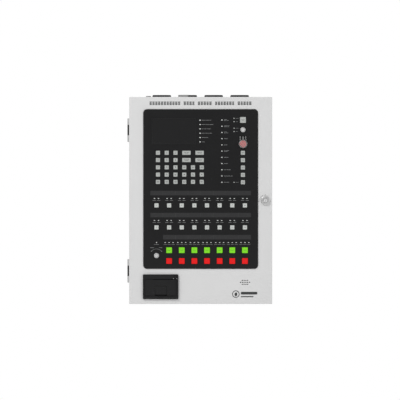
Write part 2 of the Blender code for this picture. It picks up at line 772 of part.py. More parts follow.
def step_out(bm, face, width, height):
    """Gives a face a new size in its own plane, with a flat step between the two outlines."""
    face = extrude(bm, face)
    centre = face.calc_center_median()
    for vert in face.verts:
        vert.co.x = centre.x + math.copysign(width / 2, vert.co.x - centre.x)
        vert.co.z = centre.z + math.copysign(height / 2, vert.co.z - centre.z)
    return face


def deepen(bm, face, distance):
    """Extrudes a face towards the wall."""
    face = extrude(bm, face)
    bmesh.ops.translate(bm, verts=face.verts, vec=(0.0, distance, 0.0))
    return face


def rear_face(bm):
    return max(bm.faces, key=lambda face: face.calc_center_median().y)


def key_mesh(name, width):
    """Makes a key: a cap through the fascia, a flange behind it and a stem towards the board."""
    bm = bmesh.new()
    cap_back = FASCIA_BACK + GAP
    panel(bm, 0.0, 0.0, width, width, cap_back, FASCIA_FRONT - KEY_PROUD)
    face = step_out(bm, rear_face(bm), width + 2 * KEY_LIP, width + 2 * KEY_LIP)
    face = deepen(bm, face, KEY_FLANGE_THICKNESS)
    face = step_out(bm, face, KEY_STEM, KEY_STEM)
    deepen(bm, face, KEY_STEM_LENGTH)
    front = min(bm.faces, key=lambda item: item.calc_center_median().y)
    bmesh.ops.bevel(bm, geom=front.edges[:], offset=KEY_BEVEL, segments=1, affect="EDGES")
    bmesh.ops.translate(bm, verts=bm.verts, vec=(0.0, -cap_back, 0.0))
    mesh = bpy.data.meshes.new(name)
    bm.to_mesh(mesh)
    bm.free()
    return mesh


def make_single_keys():
    shapes = {}
    for name, (x, z, width, material) in single_keys().items():
        style = (width, material.name)
        if style not in shapes:
            shapes[style] = key_mesh(f"{material.name}_{width:.4f}", width)
            shapes[style].materials.append(material)
        obj = bpy.data.objects.new(name, shapes[style])
        obj.location = (x, FASCIA_BACK + GAP, z)
        PARTS.objects.link(obj)


def make_key_mat(name, keys):
    """Makes a silicone mat: one web behind the fascia with all its keys standing out through it."""
    web_front = FASCIA_BACK + GAP
    left = min(x - width / 2 for x, _, width in keys) - MAT_MARGIN
    right = max(x + width / 2 for x, _, width in keys) + MAT_MARGIN
    low = min(z for _, z, _ in keys) - SMALL_KEY / 2 - MAT_MARGIN
    high = max(z for _, z, _ in keys) + SMALL_KEY / 2 + MAT_MARGIN
    bm = bmesh.new()
    block(bm, (left, web_front, low), (right, web_front + MAT_THICKNESS, high))
    mat = part(name, bm, ((left + right) / 2, web_front, (low + high) / 2), KEY_GREY)
    caps = bmesh.new()
    for x, z, width in keys:
        height = ZONE_KEY if width == ZONE_KEY else SMALL_KEY
        panel(caps, x, z, width, height, web_front + OVERLAP, FASCIA_FRONT - KEY_PROUD)
    tops = [f for f in caps.faces if f.normal.y < -0.5]
    edges = {edge for face in tops for edge in face.edges}
    bmesh.ops.bevel(caps, geom=list(edges), offset=KEY_BEVEL, segments=1, affect="EDGES")
    return join(mat, tool(f"{name}_caps", caps))


def make_display():
    bm = bmesh.new()
    panel(bm, DISPLAY_X, DISPLAY_Z, DISPLAY_WIDTH - 2 * GAP, DISPLAY_HEIGHT - 2 * GAP,
          FASCIA_BACK + GAP, FASCIA_FRONT + GAP)
    face = step_out(bm, rear_face(bm), DISPLAY_WIDTH + DISPLAY_LIP, DISPLAY_HEIGHT + DISPLAY_LIP)
    deepen(bm, face, KEY_FLANGE_THICKNESS)
    part("lcd_window", bm, (DISPLAY_X, FASCIA_BACK, DISPLAY_Z), DISPLAY_GLASS)

    bm = bmesh.new()
    module_front = FASCIA_BACK + GAP + KEY_FLANGE_THICKNESS + GAP
    panel(bm, DISPLAY_X, DISPLAY_Z, DISPLAY_WIDTH + 2 * DISPLAY_MARGIN, DISPLAY_HEIGHT + 2 * DISPLAY_MARGIN,
          DISPLAY_BOARD_FRONT - GAP, module_front, MODULE_CORNER, 2)
    part("lcd_module", bm, (DISPLAY_X, module_front, DISPLAY_Z), BLACK_PLASTIC)

    bm = bmesh.new()
    board_back = DISPLAY_BOARD_FRONT + BOARD_THICKNESS
    panel(bm, 0.0, FASCIA_CENTRE_Z, DISPLAY_BOARD_WIDTH, DISPLAY_BOARD_HEIGHT, board_back,
          DISPLAY_BOARD_FRONT, DISPLAY_BOARD_CORNER, 2)
    board = part("display_board", bm, (0.0, board_back, FASCIA_CENTRE_Z), BOARD_GREEN)
    holes = bmesh.new()
    start = DISPLAY_BOARD_FRONT - BOARD_THICKNESS
    length = 3 * BOARD_THICKNESS
    for x, z in SWITCHES.values():
        rod(holes, (x, start, z), length, SWITCH_BODY_RADIUS + BOARD_HOLE_MARGIN, "Y", 20)
    rod(holes, (GUARD_X, start, GUARD_Z), length, GUARD_NECK, "Y", 24)
    cut(board, tool("display_board_holes", holes))


def make_key_switches():
    head, body = SWITCH_HEAD_RADIUS, SWITCH_BODY_RADIUS
    bore = SWITCH_PLUG_RADIUS + GAP
    top = SWITCH_HEAD_HEIGHT
    barrel = [
        (head - 0.0008, top),
        (head, top - 0.0008),
        (head, GAP),
        (body, GAP),
        (body, -SWITCH_BODY_LENGTH),
        (bore, -SWITCH_BODY_LENGTH),
        (bore, top),
    ]
    plug = [
        (0.0, top - 0.0004),
        (SWITCH_PLUG_RADIUS, top - 0.0004),
        (SWITCH_PLUG_RADIUS, -SWITCH_BODY_LENGTH - 0.001),
        (0.0, -SWITCH_BODY_LENGTH - 0.001),
    ]
    for name, (x, z) in SWITCHES.items():
        place = (x, FASCIA_FRONT, z)
        turned(f"{name}_switch_barrel", barrel, place, "front", BRIGHT_METAL, 28, ring=True)
        core = turned(f"{name}_switch_plug", plug, place, "front", BRIGHT_METAL, 24)
        slot = bmesh.new()
        panel(slot, x, z, KEY_SLOT_WIDTH, KEY_SLOT_LENGTH, FASCIA_FRONT + 0.003, FASCIA_FRONT - 2 * top)
        turn = Matrix.Rotation(SWITCH_REST[name], 4, "Y")
        bmesh.ops.rotate(slot, verts=slot.verts, cent=(x, 0.0, z), matrix=turn)
        cut(core, tool(f"{name}_switch_slot", slot))


def make_guarded_button():
    place = (GUARD_X, FASCIA_FRONT, GUARD_Z)
    axis_z = GUARD_Z + GUARD_HINGE_RISE
    axis_y = FASCIA_FRONT - GUARD_HINGE_OUT
    collar = [
        (GUARD_COLLAR_RADIUS, 0.0038),
        (GUARD_COLLAR_RADIUS, GAP),
        (GUARD_NECK, GAP),
        (GUARD_NECK, -0.0060),
        (GUARD_BORE, -0.0060),
        (GUARD_BORE, 0.0038),
    ]
    base = turned("guard_base", collar, place, "front", BLACK_PLASTIC, 32, ring=True)
    strip_front = FASCIA_FRONT - GAP - GUARD_STRIP_THICKNESS
    strips = bmesh.new()
    knuckles = bmesh.new()
    for side in (-1, 1):
        left = GUARD_X + side * GUARD_KNUCKLE_X - GUARD_KNUCKLE_WIDTH / 2
        right = left + GUARD_KNUCKLE_WIDTH
        block(
            strips,
            (left, strip_front, GUARD_Z + GUARD_BORE + OVERLAP),
            (right, FASCIA_FRONT - GAP, axis_z + GUARD_KNUCKLE_ROUND),
        )
        block(
            knuckles,
            (left, axis_y - GUARD_KNUCKLE_ROUND, axis_z - GUARD_KNUCKLE_ROUND),
            (right, strip_front + GAP, axis_z + GUARD_KNUCKLE_ROUND),
        )
    join(base, tool("guard_strips", strips))
    join(base, tool("guard_knuckles", knuckles))
    pin = bmesh.new()
    rod(pin, (GUARD_X - GUARD_PIN_LENGTH / 2, axis_y, axis_z), GUARD_PIN_LENGTH, GUARD_PIN, "X", 10)
    join(base, tool("guard_pin", pin))

    inner = GUARD_RADIUS - GUARD_WALL
    dome = [
        (0.0, 0.0085),
        (0.0078, 0.0083),
        (0.0104, 0.0074),
        (GUARD_RADIUS, 0.0056),
        (GUARD_RADIUS, 0.0013),
        (inner, 0.0013),
        (inner, 0.0053),
        (0.0100, 0.0067),
        (0.0076, 0.0075),
        (0.0, 0.0077),
    ]
    cover = turned("guard_cover", dome, place, "front", CLEAR_COVER, 32)
    for side in (-1, 0, 1):
        width = GUARD_SIDE_PRONG_WIDTH if side else GUARD_MIDDLE_PRONG_WIDTH
        start = GUARD_SIDE_PRONG_START if side else GUARD_MIDDLE_PRONG_START
        left = GUARD_X + side * GUARD_SIDE_PRONG_X - width / 2
        prong = bmesh.new()
        block(
            prong,
            (left, FASCIA_FRONT - GUARD_PRONG_FRONT, GUARD_Z + start),
            (left + width, FASCIA_FRONT - GUARD_PRONG_BACK, GUARD_Z + GUARD_PRONG_TOP),
        )
        join(cover, tool(f"guard_prong_{side + 2}", prong))
    bore = bmesh.new()
    rod(bore, (GUARD_X - GUARD_RADIUS, axis_y, axis_z), 2 * GUARD_RADIUS, GUARD_PIN + GAP, "X", 10)
    cut(cover, tool("guard_bore", bore))

    button = [
        (0.0, 0.0055),
        (0.0072, 0.0053),
        (EMERGENCY_RADIUS, 0.0044),
        (EMERGENCY_RADIUS, -0.0020),
        (0.0050, -0.0020),
        (0.0050, -0.0068),
        (0.0, -0.0068),
    ]
    turned("emergency_button", button, place, "front", KEY_RED, 28)


def make_lock():
    place = (LOCK_X, DOOR_FRONT, LOCK_Z)
    head, body = LOCK_HEAD_RADIUS, LOCK_BODY_RADIUS
    bore = LOCK_PLUG_RADIUS + GAP
    top = LOCK_HEAD_HEIGHT
    barrel = [
        (head - 0.0016, top),
        (head - 0.0004, top - 0.0009),
        (head, top - 0.0024),
        (head, GAP),
        (body, GAP),
        (body, -LOCK_BODY_LENGTH),
        (bore, -LOCK_BODY_LENGTH),
        (bore, top),
    ]
    turned("lock_barrel", barrel, place, "front", BRIGHT_METAL, 36, ring=True)
    plug = [
        (0.0, top - 0.0005),
        (LOCK_PLUG_RADIUS, top - 0.0005),
        (LOCK_PLUG_RADIUS, -LOCK_BODY_LENGTH - 0.0015),
        (LOCK_TAIL_RADIUS, -LOCK_BODY_LENGTH - 0.0015),
        (LOCK_TAIL_RADIUS, -LOCK_TAIL_LENGTH),
        (0.0, -LOCK_TAIL_LENGTH),
    ]
    core = turned("lock_plug", plug, place, "front", BRIGHT_METAL, 24)
    slot = bmesh.new()
    panel(slot, LOCK_X, LOCK_Z, LOCK_SLOT_WIDTH, LOCK_SLOT_LENGTH, DOOR_FRONT + 0.002, DOOR_FRONT - 2 * top)
    cut(core, tool("lock_slot", slot))

    bm = bmesh.new()
    block(
        bm,
        (LOCK_X - CAM_WIDTH / 2, CAM_FRONT, LOCK_Z - CAM_LENGTH),
        (LOCK_X + CAM_WIDTH / 2, CAM_FRONT + CAM_THICKNESS, LOCK_Z + CAM_WIDTH / 2),
    )
    upright = [e for e in bm.edges if abs(e.verts[0].co.y - e.verts[1].co.y) > CAM_THICKNESS / 2]
    bmesh.ops.bevel(bm, geom=upright, offset=CAM_CORNER, segments=3, affect="EDGES", profile=0.5)
    cam = part("lock_cam", bm, (LOCK_X, CAM_FRONT, LOCK_Z), ZINC)
    hole = bmesh.new()
    rod(hole, (LOCK_X, CAM_FRONT - CAM_THICKNESS, LOCK_Z), 3 * CAM_THICKNESS, LOCK_TAIL_RADIUS + GAP, "Y", 20)
    cut(cam, tool("lock_cam_hole", hole))


# Printer


def make_printer_housing():
    front = DOOR_FRONT - BEZEL_DEPTH
    bm = bmesh.new()
    panel(bm, PRINTER_X, PRINTER_Z, BEZEL_WIDTH, BEZEL_HEIGHT, DOOR_FRONT - GAP, front, BEZEL_CORNER, 3)
    housing = part("printer_housing", bm, (PRINTER_X, DOOR_FRONT, PRINTER_Z), BLACK_PLASTIC)
    tub = bmesh.new()
    panel(tub, PRINTER_X, PRINTER_Z, HOUSING_WIDTH, HOUSING_HEIGHT, HOUSING_BACK, DOOR_FRONT - 0.0012)
    join(housing, tool("printer_tub", tub))
    bay = bmesh.new()
    block(bay, (BAY_LEFT, front - SHEET, BAY_BOTTOM), (BAY_RIGHT, front + BAY_DEPTH, BAY_TOP))
    cut(housing, tool("printer_bay", bay))
    store = bmesh.new()
    block(
        store,
        (BAY_LEFT, DOOR_FRONT + OVERLAP, BAY_BOTTOM),
        (BAY_RIGHT, HOUSING_BACK - HOUSING_WALL, ROLL_BAY_TOP),
    )
    cut(housing, tool("printer_store", store))
    small = bmesh.new()
    axis_y = flap_axis_y()
    socket = FLAP_PIN_REACH + GAP
    rod(small, (BAY_LEFT - socket, axis_y, FLAP_AXIS_Z), BAY_RIGHT - BAY_LEFT + 2 * socket,
        FLAP_PIN_RADIUS + GAP, "X", 12)
    rod(small, (FEED_X, front - SHEET, FEED_Z), 2 * BEZEL_DEPTH, FEED_RADIUS + GAP, "Y", 24)
    cut(housing, tool("printer_small_holes", small))
    scoop = bmesh.new()
    lever_x = (LEVER_LEFT + LEVER_RIGHT) / 2
    rod(scoop, (lever_x, front - SHEET, BAY_BOTTOM + SCOOP_RISE), 3 * SHEET, SCOOP_RADIUS, "Y", 32)
    return cut(housing, tool("finger_scoop", scoop))


def flap_front_y():
    return DOOR_FRONT - BEZEL_DEPTH + FLAP_RECESS


def flap_axis_y():
    return flap_front_y() + FLAP_THICKNESS / 2


def make_printer_flap():
    front = flap_front_y()
    back = front + FLAP_THICKNESS
    origin = ((FLAP_LEFT + FLAP_RIGHT) / 2, flap_axis_y(), FLAP_AXIS_Z)
    bm = bmesh.new()
    block(bm, (FLAP_LEFT, front, FLAP_BOTTOM), (FLAP_RIGHT, back, FLAP_TOP))
    sides = [e for e in bm.edges if abs(e.verts[0].co.x - e.verts[1].co.x) > 0.01]
    low = [e for e in sides if e.verts[0].co.z < FLAP_AXIS_Z]
    bmesh.ops.bevel(bm, geom=low, offset=0.0012, segments=2, affect="EDGES", profile=0.5)
    flap = part("printer_flap", bm, origin, BLACK_PLASTIC)
    windows = bmesh.new()
    before = front - SHEET
    behind = back + SHEET
    block(
        windows,
        (LEVER_LEFT - GAP, before, FLAP_BOTTOM - SHEET),
        (LEVER_RIGHT + GAP, behind, LEVER_TOP + GAP),
    )
    block(windows, (SLOT_LEFT, before, SLOT_BOTTOM), (SLOT_RIGHT, behind, FLAP_TOP + SHEET))
    cut(flap, tool("flap_windows", windows))
    ears = bmesh.new()
    for x in (ROLLER_LEFT - GAP - EAR_THICKNESS, ROLLER_RIGHT + GAP):
        block(
            ears,
            (x, back - OVERLAP, ROLLER_Z - EAR_BELOW),
            (x + EAR_THICKNESS, back + EAR_LENGTH, ROLLER_Z + EAR_ABOVE),
        )
    join(flap, tool("flap_ears", ears))
    bores = bmesh.new()
    reach = 3 * EAR_THICKNESS
    rod(bores, (ROLLER_LEFT - reach, back + ROLLER_BEHIND_FLAP, ROLLER_Z),
        ROLLER_RIGHT - ROLLER_LEFT + 2 * reach, ROLLER_SHAFT + GAP, "X", 12)
    cut(flap, tool("roller_bores", bores))
    pins = bmesh.new()
    for x in (FLAP_LEFT - FLAP_PIN_REACH, FLAP_RIGHT + FLAP_PIN_REACH - FLAP_PIN_LENGTH):
        rod(pins, (x, flap_axis_y(), FLAP_AXIS_Z), FLAP_PIN_LENGTH, FLAP_PIN_RADIUS, "X", 10)
    join(flap, tool("flap_pins", pins))
    sockets = bmesh.new()
    reach = LEVER_PIN_REACH + OVERLAP
    rod(sockets, (LEVER_LEFT - reach, flap_axis_y(), LEVER_AXIS_Z), LEVER_RIGHT - LEVER_LEFT + 2 * reach,
        LEVER_PIN_RADIUS + GAP, "X", 10)
    return cut(flap, tool("lever_sockets", sockets))


def make_printer_lever():
    middle = flap_axis_y()
    bm = bmesh.new()
    block(
        bm,
        (LEVER_LEFT, middle - LEVER_THICKNESS / 2, LEVER_BOTTOM),
        (LEVER_RIGHT, middle + LEVER_THICKNESS / 2, LEVER_TOP),
    )
    top = [e for e in bm.edges if all(v.co.z > LEVER_TOP - 0.0001 for v in e.verts)]
    long_top = [e for e in top if abs(e.verts[0].co.x - e.verts[1].co.x) > 0.01]
    bmesh.ops.bevel(bm, geom=long_top, offset=0.0009, segments=2, affect="EDGES", profile=0.5)
    centre_x = (LEVER_LEFT + LEVER_RIGHT) / 2
    lever = part("printer_lever", bm, (centre_x, middle, LEVER_AXIS_Z), BLACK_PLASTIC)
    pins = bmesh.new()
    for x in (LEVER_LEFT - LEVER_PIN_REACH, LEVER_RIGHT - LEVER_PIN_REACH):
        rod(pins, (x, middle, LEVER_AXIS_Z), 2 * LEVER_PIN_REACH, LEVER_PIN_RADIUS, "X", 8)
    return join(lever, tool("lever_pins", pins))


def make_rollers():
    length = ROLLER_RIGHT - ROLLER_LEFT
    reach = ROLLER_SHAFT_REACH
    profile = [
        (0.0, length + reach),
        (ROLLER_SHAFT, length + reach),
        (ROLLER_SHAFT, length),
        (ROLLER_RADIUS, length),
        (ROLLER_RADIUS, 0.0),
        (ROLLER_SHAFT, 0.0),
        (ROLLER_SHAFT, -reach),
        (0.0, -reach),
    ]
    roller_y = flap_front_y() + FLAP_THICKNESS + ROLLER_BEHIND_FLAP
    turned("platen_roller", profile, (ROLLER_LEFT, roller_y, ROLLER_Z), "right", BLACK_RUBBER, 20)
    paper = [(ROLL_RADIUS, ROLL_WIDTH), (ROLL_RADIUS, 0.0), (ROLL_CORE, 0.0), (ROLL_CORE, ROLL_WIDTH)]
    turned("paper_roll", paper, (PRINTER_X - ROLL_WIDTH / 2, ROLL_Y, ROLL_Z), "right", PAPER, 28, ring=True)


def make_feed_button():
    front = DOOR_FRONT - BEZEL_DEPTH
    profile = [
        (0.0, 0.0004),
        (FEED_RADIUS - 0.0005, 0.0004),
        (FEED_RADIUS, -0.0001),
        (FEED_RADIUS, -0.0042),
        (0.0, -0.0042),
    ]
    turned("feed_button", profile, (FEED_X, front, FEED_Z), "front", BLACK_PLASTIC, 20)


def make_speaker():
    profile = [
        (0.0, -0.0055),
        (0.0100, -0.0050),
        (SPEAKER_RADIUS - 0.0060, -0.0006),
        (SPEAKER_RADIUS - 0.0060, 0.0),
        (SPEAKER_RADIUS, 0.0),
        (SPEAKER_RADIUS, -0.0025),
        (0.0150, -0.0100),
        (0.0150, -0.0190),
        (0.0, -0.0190),
    ]
    turned("speaker", profile, (SPEAKER_X, DOOR_INSIDE + GAP, SPEAKER_Z), "front", BLACK_PLASTIC, 28)


def main():
    make_back_box()
    make_cable_plugs()
    make_backplate()
    make_main_board()
    make_power_supply()
    make_batteries()
    for place, centre in HINGE_CENTRES.items():
        make_hinge(place, centre)
    make_door()
    make_fascia()
    make_display()
    make_single_keys()
    make_key_mat("keypad_mat", keypad_keys())
    make_key_mat("zone_key_mat", zone_keys())
    make_key_switches()
    make_guarded_button()
    make_lock()
    make_printer_housing()
    make_printer_flap()
    make_printer_lever()
    make_rollers()
    make_feed_button()
    make_speaker()


main()
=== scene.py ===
import math

import bmesh
import bpy
from mathutils import Matrix, Vector


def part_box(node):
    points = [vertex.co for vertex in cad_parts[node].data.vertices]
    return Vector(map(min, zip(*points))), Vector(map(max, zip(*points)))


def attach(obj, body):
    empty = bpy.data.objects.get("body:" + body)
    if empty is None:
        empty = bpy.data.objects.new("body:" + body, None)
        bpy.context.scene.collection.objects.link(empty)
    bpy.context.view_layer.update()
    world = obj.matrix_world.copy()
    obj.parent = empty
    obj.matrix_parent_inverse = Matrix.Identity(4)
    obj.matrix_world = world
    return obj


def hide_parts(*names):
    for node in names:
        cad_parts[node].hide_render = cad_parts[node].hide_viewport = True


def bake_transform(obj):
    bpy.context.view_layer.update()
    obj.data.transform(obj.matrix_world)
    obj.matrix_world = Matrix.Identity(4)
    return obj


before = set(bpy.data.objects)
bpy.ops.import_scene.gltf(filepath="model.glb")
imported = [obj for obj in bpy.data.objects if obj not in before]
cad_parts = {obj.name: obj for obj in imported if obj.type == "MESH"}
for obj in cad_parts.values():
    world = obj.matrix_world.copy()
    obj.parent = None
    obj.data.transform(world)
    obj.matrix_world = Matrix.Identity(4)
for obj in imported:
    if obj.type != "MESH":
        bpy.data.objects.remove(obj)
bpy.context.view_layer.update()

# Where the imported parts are. X runs right, Z up, and -Y towards the user.
DOOR_LOW, DOOR_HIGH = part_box("door")
FASCIA_LOW, FASCIA_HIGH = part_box("fascia")
DOOR_FRONT, DOOR_BACK = DOOR_LOW.y, DOOR_HIGH.y
FASCIA_FRONT, FASCIA_BACK = FASCIA_LOW.y, FASCIA_HIGH.y
BOX_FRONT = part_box("back_box")[0].y
KEY_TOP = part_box("square_key")[0].y
HALF_WIDTH, HALF_HEIGHT = DOOR_HIGH.x, DOOR_HIGH.z
SHEET = 0.0015
GAP = 0.0003
OVERLAP = 0.0005
INK = 0.00008
SIDES = (-1, 1)
CORNERS = [(side, level) for side in SIDES for level in SIDES]


def around(node):
    """A node's lowest corner, its highest corner and its middle."""
    low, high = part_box(node)
    return low, high, (low + high) / 2


def middle(node):
    return around(node)[2]


# Camera, lights and stage


FRAME_WIDTH = 1.0621
LENS = 1000.0
SENSOR = 36.0
CAMERA_X = -0.0017
CAMERA_Z = 0.0012
FLOOR_Z = -0.62
WORLD_RAMP = {"From Min": -1.0, "From Max": 0.4, "To Min": 0.61, "To Max": 1.0}
LAMPS = (
    ("key_light", (-3.4, -4.3, 4.3), 1.35, 206.0),
    ("fill_light", (2.6, -2.4, 0.6), 2.0, 14.0),
    ("back_light", (0.6, 2.6, 2.0), 2.0, 30.0),
)


def make_stage():
    scene = bpy.context.scene
    scene.view_settings.view_transform = "Standard"
    camera = bpy.data.objects.new("camera", bpy.data.cameras.new("camera"))
    camera.data.lens = LENS
    camera.data.sensor_width = SENSOR
    camera.data.clip_end = 200.0
    distance = LENS / SENSOR * FRAME_WIDTH
    camera.location = (CAMERA_X, FASCIA_FRONT - distance, CAMERA_Z)
    camera.rotation_euler = (math.pi / 2, 0.0, 0.0)
    scene.collection.objects.link(camera)
    scene.camera = camera

    world = bpy.data.worlds.new("studio")
    scene.world = world
    world.use_nodes = True
    nodes, links = world.node_tree.nodes, world.node_tree.links
    coords = nodes.new("ShaderNodeTexCoord")
    split = nodes.new("ShaderNodeSeparateXYZ")
    ramp = nodes.new("ShaderNodeMapRange")
    for socket, value in WORLD_RAMP.items():
        ramp.inputs[socket].default_value = value
    links.new(coords.outputs["Generated"], split.inputs[0])
    links.new(split.outputs["Y"], ramp.inputs["Value"])
    links.new(ramp.outputs["Result"], nodes["Background"].inputs["Color"])

    for name, place, size, power in LAMPS:
        lamp = bpy.data.lights.new(name, "AREA")
        lamp.shape = "DISK"
        lamp.size = size
        lamp.energy = power
        obj = bpy.data.objects.new(name, lamp)
        obj.location = place
        obj.rotation_euler = (-Vector(place)).to_track_quat("-Z", "Y").to_euler()
        scene.collection.objects.link(obj)

    bm = bmesh.new()
    bmesh.ops.create_grid(bm, x_segments=1, y_segments=1, size=4.0)
    floor = to_object("floor", bm)
    floor.location = (0.0, 0.0, FLOOR_Z)
    floor.data.materials.append(surface("floor_paint", 0.82, 0.8, mottle=0.01, grain=0.0))


# Finishes


def tint(colour, factor):
    return (*[min(1.0, channel * factor) for channel in colour], 1.0)


def surface(
    name,
    colour,
    roughness,
    metallic=0.0,
    mottle=0.04,
    mottle_scale=25.0,
    grain=0.00002,
    grain_scale=900.0,
    specular=0.5,
    alpha=1.0,
):
    """A finish whose colour, or grey, and roughness drift a little, over a fine bump as high as its grain."""

    def noise(scale, detail):
        node = nodes.new("ShaderNodeTexNoise")
        node.inputs["Scale"].default_value = scale
        node.inputs["Detail"].default_value = detail
        links.new(coords.outputs["Object"], node.inputs["Vector"])
        return node.outputs["Fac"]

    if isinstance(colour, float):
        colour = (colour, colour, colour)
    material = bpy.data.materials.new(name)
    material.use_nodes = True
    nodes, links = material.node_tree.nodes, material.node_tree.links
    shader = nodes["Principled BSDF"]
    shader.inputs["Metallic"].default_value = metallic
    shader.inputs["Specular IOR Level"].default_value = specular
    shader.inputs["Alpha"].default_value = alpha
    coords = nodes.new("ShaderNodeTexCoord")
    drift = noise(mottle_scale, 4.0)
    mix = nodes.new("ShaderNodeMix")
    mix.data_type = "RGBA"
    colours = [socket for socket in mix.inputs if socket.type == "RGBA"]
    colours[0].default_value = tint(colour, 1.0 - mottle)
    colours[1].default_value = tint(colour, 1.0 + mottle)
    links.new(drift, mix.inputs[0])
    links.new(next(s for s in mix.outputs if s.type == "RGBA"), shader.inputs["Base Color"])
    spread = nodes.new("ShaderNodeMapRange")
    spread.inputs["To Min"].default_value = roughness * 0.85
    spread.inputs["To Max"].default_value = min(1.0, roughness * 1.15)
    links.new(drift, spread.inputs["Value"])
    links.new(spread.outputs["Result"], shader.inputs["Roughness"])
    if grain:
        bump = nodes.new("ShaderNodeBump")
        bump.inputs["Distance"].default_value = grain
        links.new(noise(grain_scale, 2.0), bump.inputs["Height"])
        links.new(bump.outputs["Normal"], shader.inputs["Normal"])
    return material


def silicone(name, colour, roughness, mottle, specular):
    return surface(name, colour, roughness, mottle=mottle, grain=0.00001, grain_scale=2600, specular=specular)


def print_ink(name, colour, mottle=0.03):
    return surface(name, colour, 0.6, mottle=mottle, grain=0.0)


POWDER = surface("powder_coat", 0.565, 0.55, mottle=0.012, grain=0.00004, grain_scale=650, specular=0.4)
FILM = surface("black_film", (0.0042, 0.0042, 0.0046), 0.42, mottle=0.1, grain=0.000012, grain_scale=2200,
               specular=0.22)
BLACK = surface("black_plastic", (0.0066, 0.0066, 0.007), 0.5, mottle=0.1, grain=0.00003, grain_scale=1500,
                specular=0.22)
RUBBER = surface("black_rubber", (0.015, 0.015, 0.0155), 0.8, mottle=0.08, grain=0.00004, grain_scale=1300,
                 specular=0.2)
GREY_KEY = silicone("grey_silicone", (0.345, 0.358, 0.345), 0.55, 0.02, 0.5)
ZONE_KEY = silicone("pale_silicone", (0.44, 0.457, 0.44), 0.55, 0.02, 0.5)
GREEN_KEY = silicone("green_silicone", (0.18, 0.60, 0.013), 0.5, 0.03, 0.25)
RED_KEY = silicone("red_silicone", (0.66, 0.0018, 0.0018), 0.5, 0.03, 0.25)
RED_GLOSS = surface("red_button_plastic", (0.97, 0.003, 0.008), 0.25, mottle=0.03, grain=0.0)
NICKEL = surface("satin_nickel", 0.53, 0.34, 1.0, mottle=0.03, grain=0.00001, grain_scale=3000)
CORE = surface("satin_core", 0.62, 0.48, 0.6, mottle=0.03, grain=0.00001, grain_scale=3000)
STEEL = surface("turned_steel", (0.50, 0.50, 0.51), 0.30, 1.0, mottle=0.05, grain=0.00001, grain_scale=2500)
ZINC = surface("zinc_plate", (0.50, 0.51, 0.52), 0.42, 1.0, mottle=0.12, mottle_scale=60)
TAG = surface("grey_tag", 0.21, 0.55, mottle=0.03)
HINGE = surface("hinge_paint", 0.40, 0.5, mottle=0.03)
LENS_PLASTIC = surface("diffused_lens", (0.50, 0.51, 0.50), 0.25, mottle=0.03, grain=0.0)
FAINT_LENS = surface("faint_lens", (0.30, 0.31, 0.30), 0.25, mottle=0.03, grain=0.0)
STRIP = surface("label_card", (0.0205, 0.0205, 0.0215), 0.45, mottle=0.08, grain=0.00001, specular=0.25)
LIGHT_INK = print_ink("light_print", (0.185, 0.19, 0.19))
DIM_INK = print_ink("dim_print", (0.13, 0.134, 0.134))
DARK_INK = print_ink("dark_print", (0.022, 0.024, 0.024), 0.05)
KEY_INK = print_ink("key_print", (0.03, 0.031, 0.031))
SIGN_INK = print_ink("sign_print", 0.20)
RULE = print_ink("strip_rule", (0.045, 0.045, 0.046))
GREEN_PRINT = print_ink("green_print", (0.05, 0.22, 0.01))
RED_PRINT = print_ink("red_print", (0.50, 0.01, 0.01))
GLASS = surface("display_acrylic", (0.0088, 0.0088, 0.0092), 0.10, mottle=0.05, grain=0.0, specular=0.22)
COVER = surface("milky_cover", 0.30, 0.22, mottle=0.03, grain=0.0, alpha=0.34, specular=0.4)
TRIM = surface("frame_plastic", (0.0105, 0.0105, 0.011), 0.45, mottle=0.08, grain=0.00001, specular=0.25)
BOARD = surface("solder_mask", (0.012, 0.10, 0.035), 0.38, mottle=0.15, mottle_scale=180)
BATTERY = surface("battery_case", (0.045, 0.047, 0.05), 0.5, mottle=0.08, grain=0.00004)
PAPER = surface("thermal_paper", (0.75, 0.74, 0.71), 0.85, mottle=0.02, grain=0.00003, grain_scale=2500)
CONE = surface("speaker_cone", (0.02, 0.02, 0.021), 0.85, mottle=0.2, mottle_scale=400, grain=0.00008)
TERMINAL = surface("terminal_plastic", (0.02, 0.20, 0.06), 0.4)
COPPER = surface("tinned_copper", (0.62, 0.60, 0.56), 0.35, 1.0, mottle=0.1, mottle_scale=200)
CHIP = surface("chip_epoxy", (0.012, 0.012, 0.013), 0.5, mottle=0.1)
RELAY = surface("relay_case", (0.02, 0.08, 0.30), 0.35)
WHITE_PLASTIC = surface("white_connector", (0.62, 0.61, 0.57), 0.4, mottle=0.03)
WIRE_RED = surface("red_wire", (0.45, 0.012, 0.012), 0.45, mottle=0.05)
WIRE_BLACK = surface("black_wire", 0.012, 0.45, mottle=0.05)
WIRE_GREY = surface("grey_ribbon", (0.30, 0.30, 0.31), 0.5, mottle=0.08, mottle_scale=700)
WIRE_GREEN = surface("earth_wire", (0.08, 0.36, 0.03), 0.45, mottle=0.6, mottle_scale=160)
FOAM = surface("seal_foam", 0.012, 0.95, mottle=0.2, mottle_scale=500, grain=0.0001, grain_scale=1800)


# Shapes


def made(shape, *measures):
    """A new bmesh with one shape in it."""
    bm = bmesh.new()
    shape(bm, *measures)
    return bm


def block(bm, low, high):
    size = [b - a for a, b in zip(low, high)]
    centre = [(a + b) / 2 for a, b in zip(low, high)]
    place = Matrix.Translation(centre) @ Matrix.Diagonal((*size, 1.0))
    return bmesh.ops.create_cube(bm, size=1.0, matrix=place)["verts"]


def bevel(bm, edges, radius, segments):
    bmesh.ops.bevel(bm, geom=edges, offset=radius, segments=segments, affect="EDGES", profile=0.5)


def soft_block(bm, low, high, radius, segments=2):
    verts = block(bm, low, high)
    bevel(bm, list(dict.fromkeys(edge for vert in verts for edge in vert.link_edges)), radius, segments)


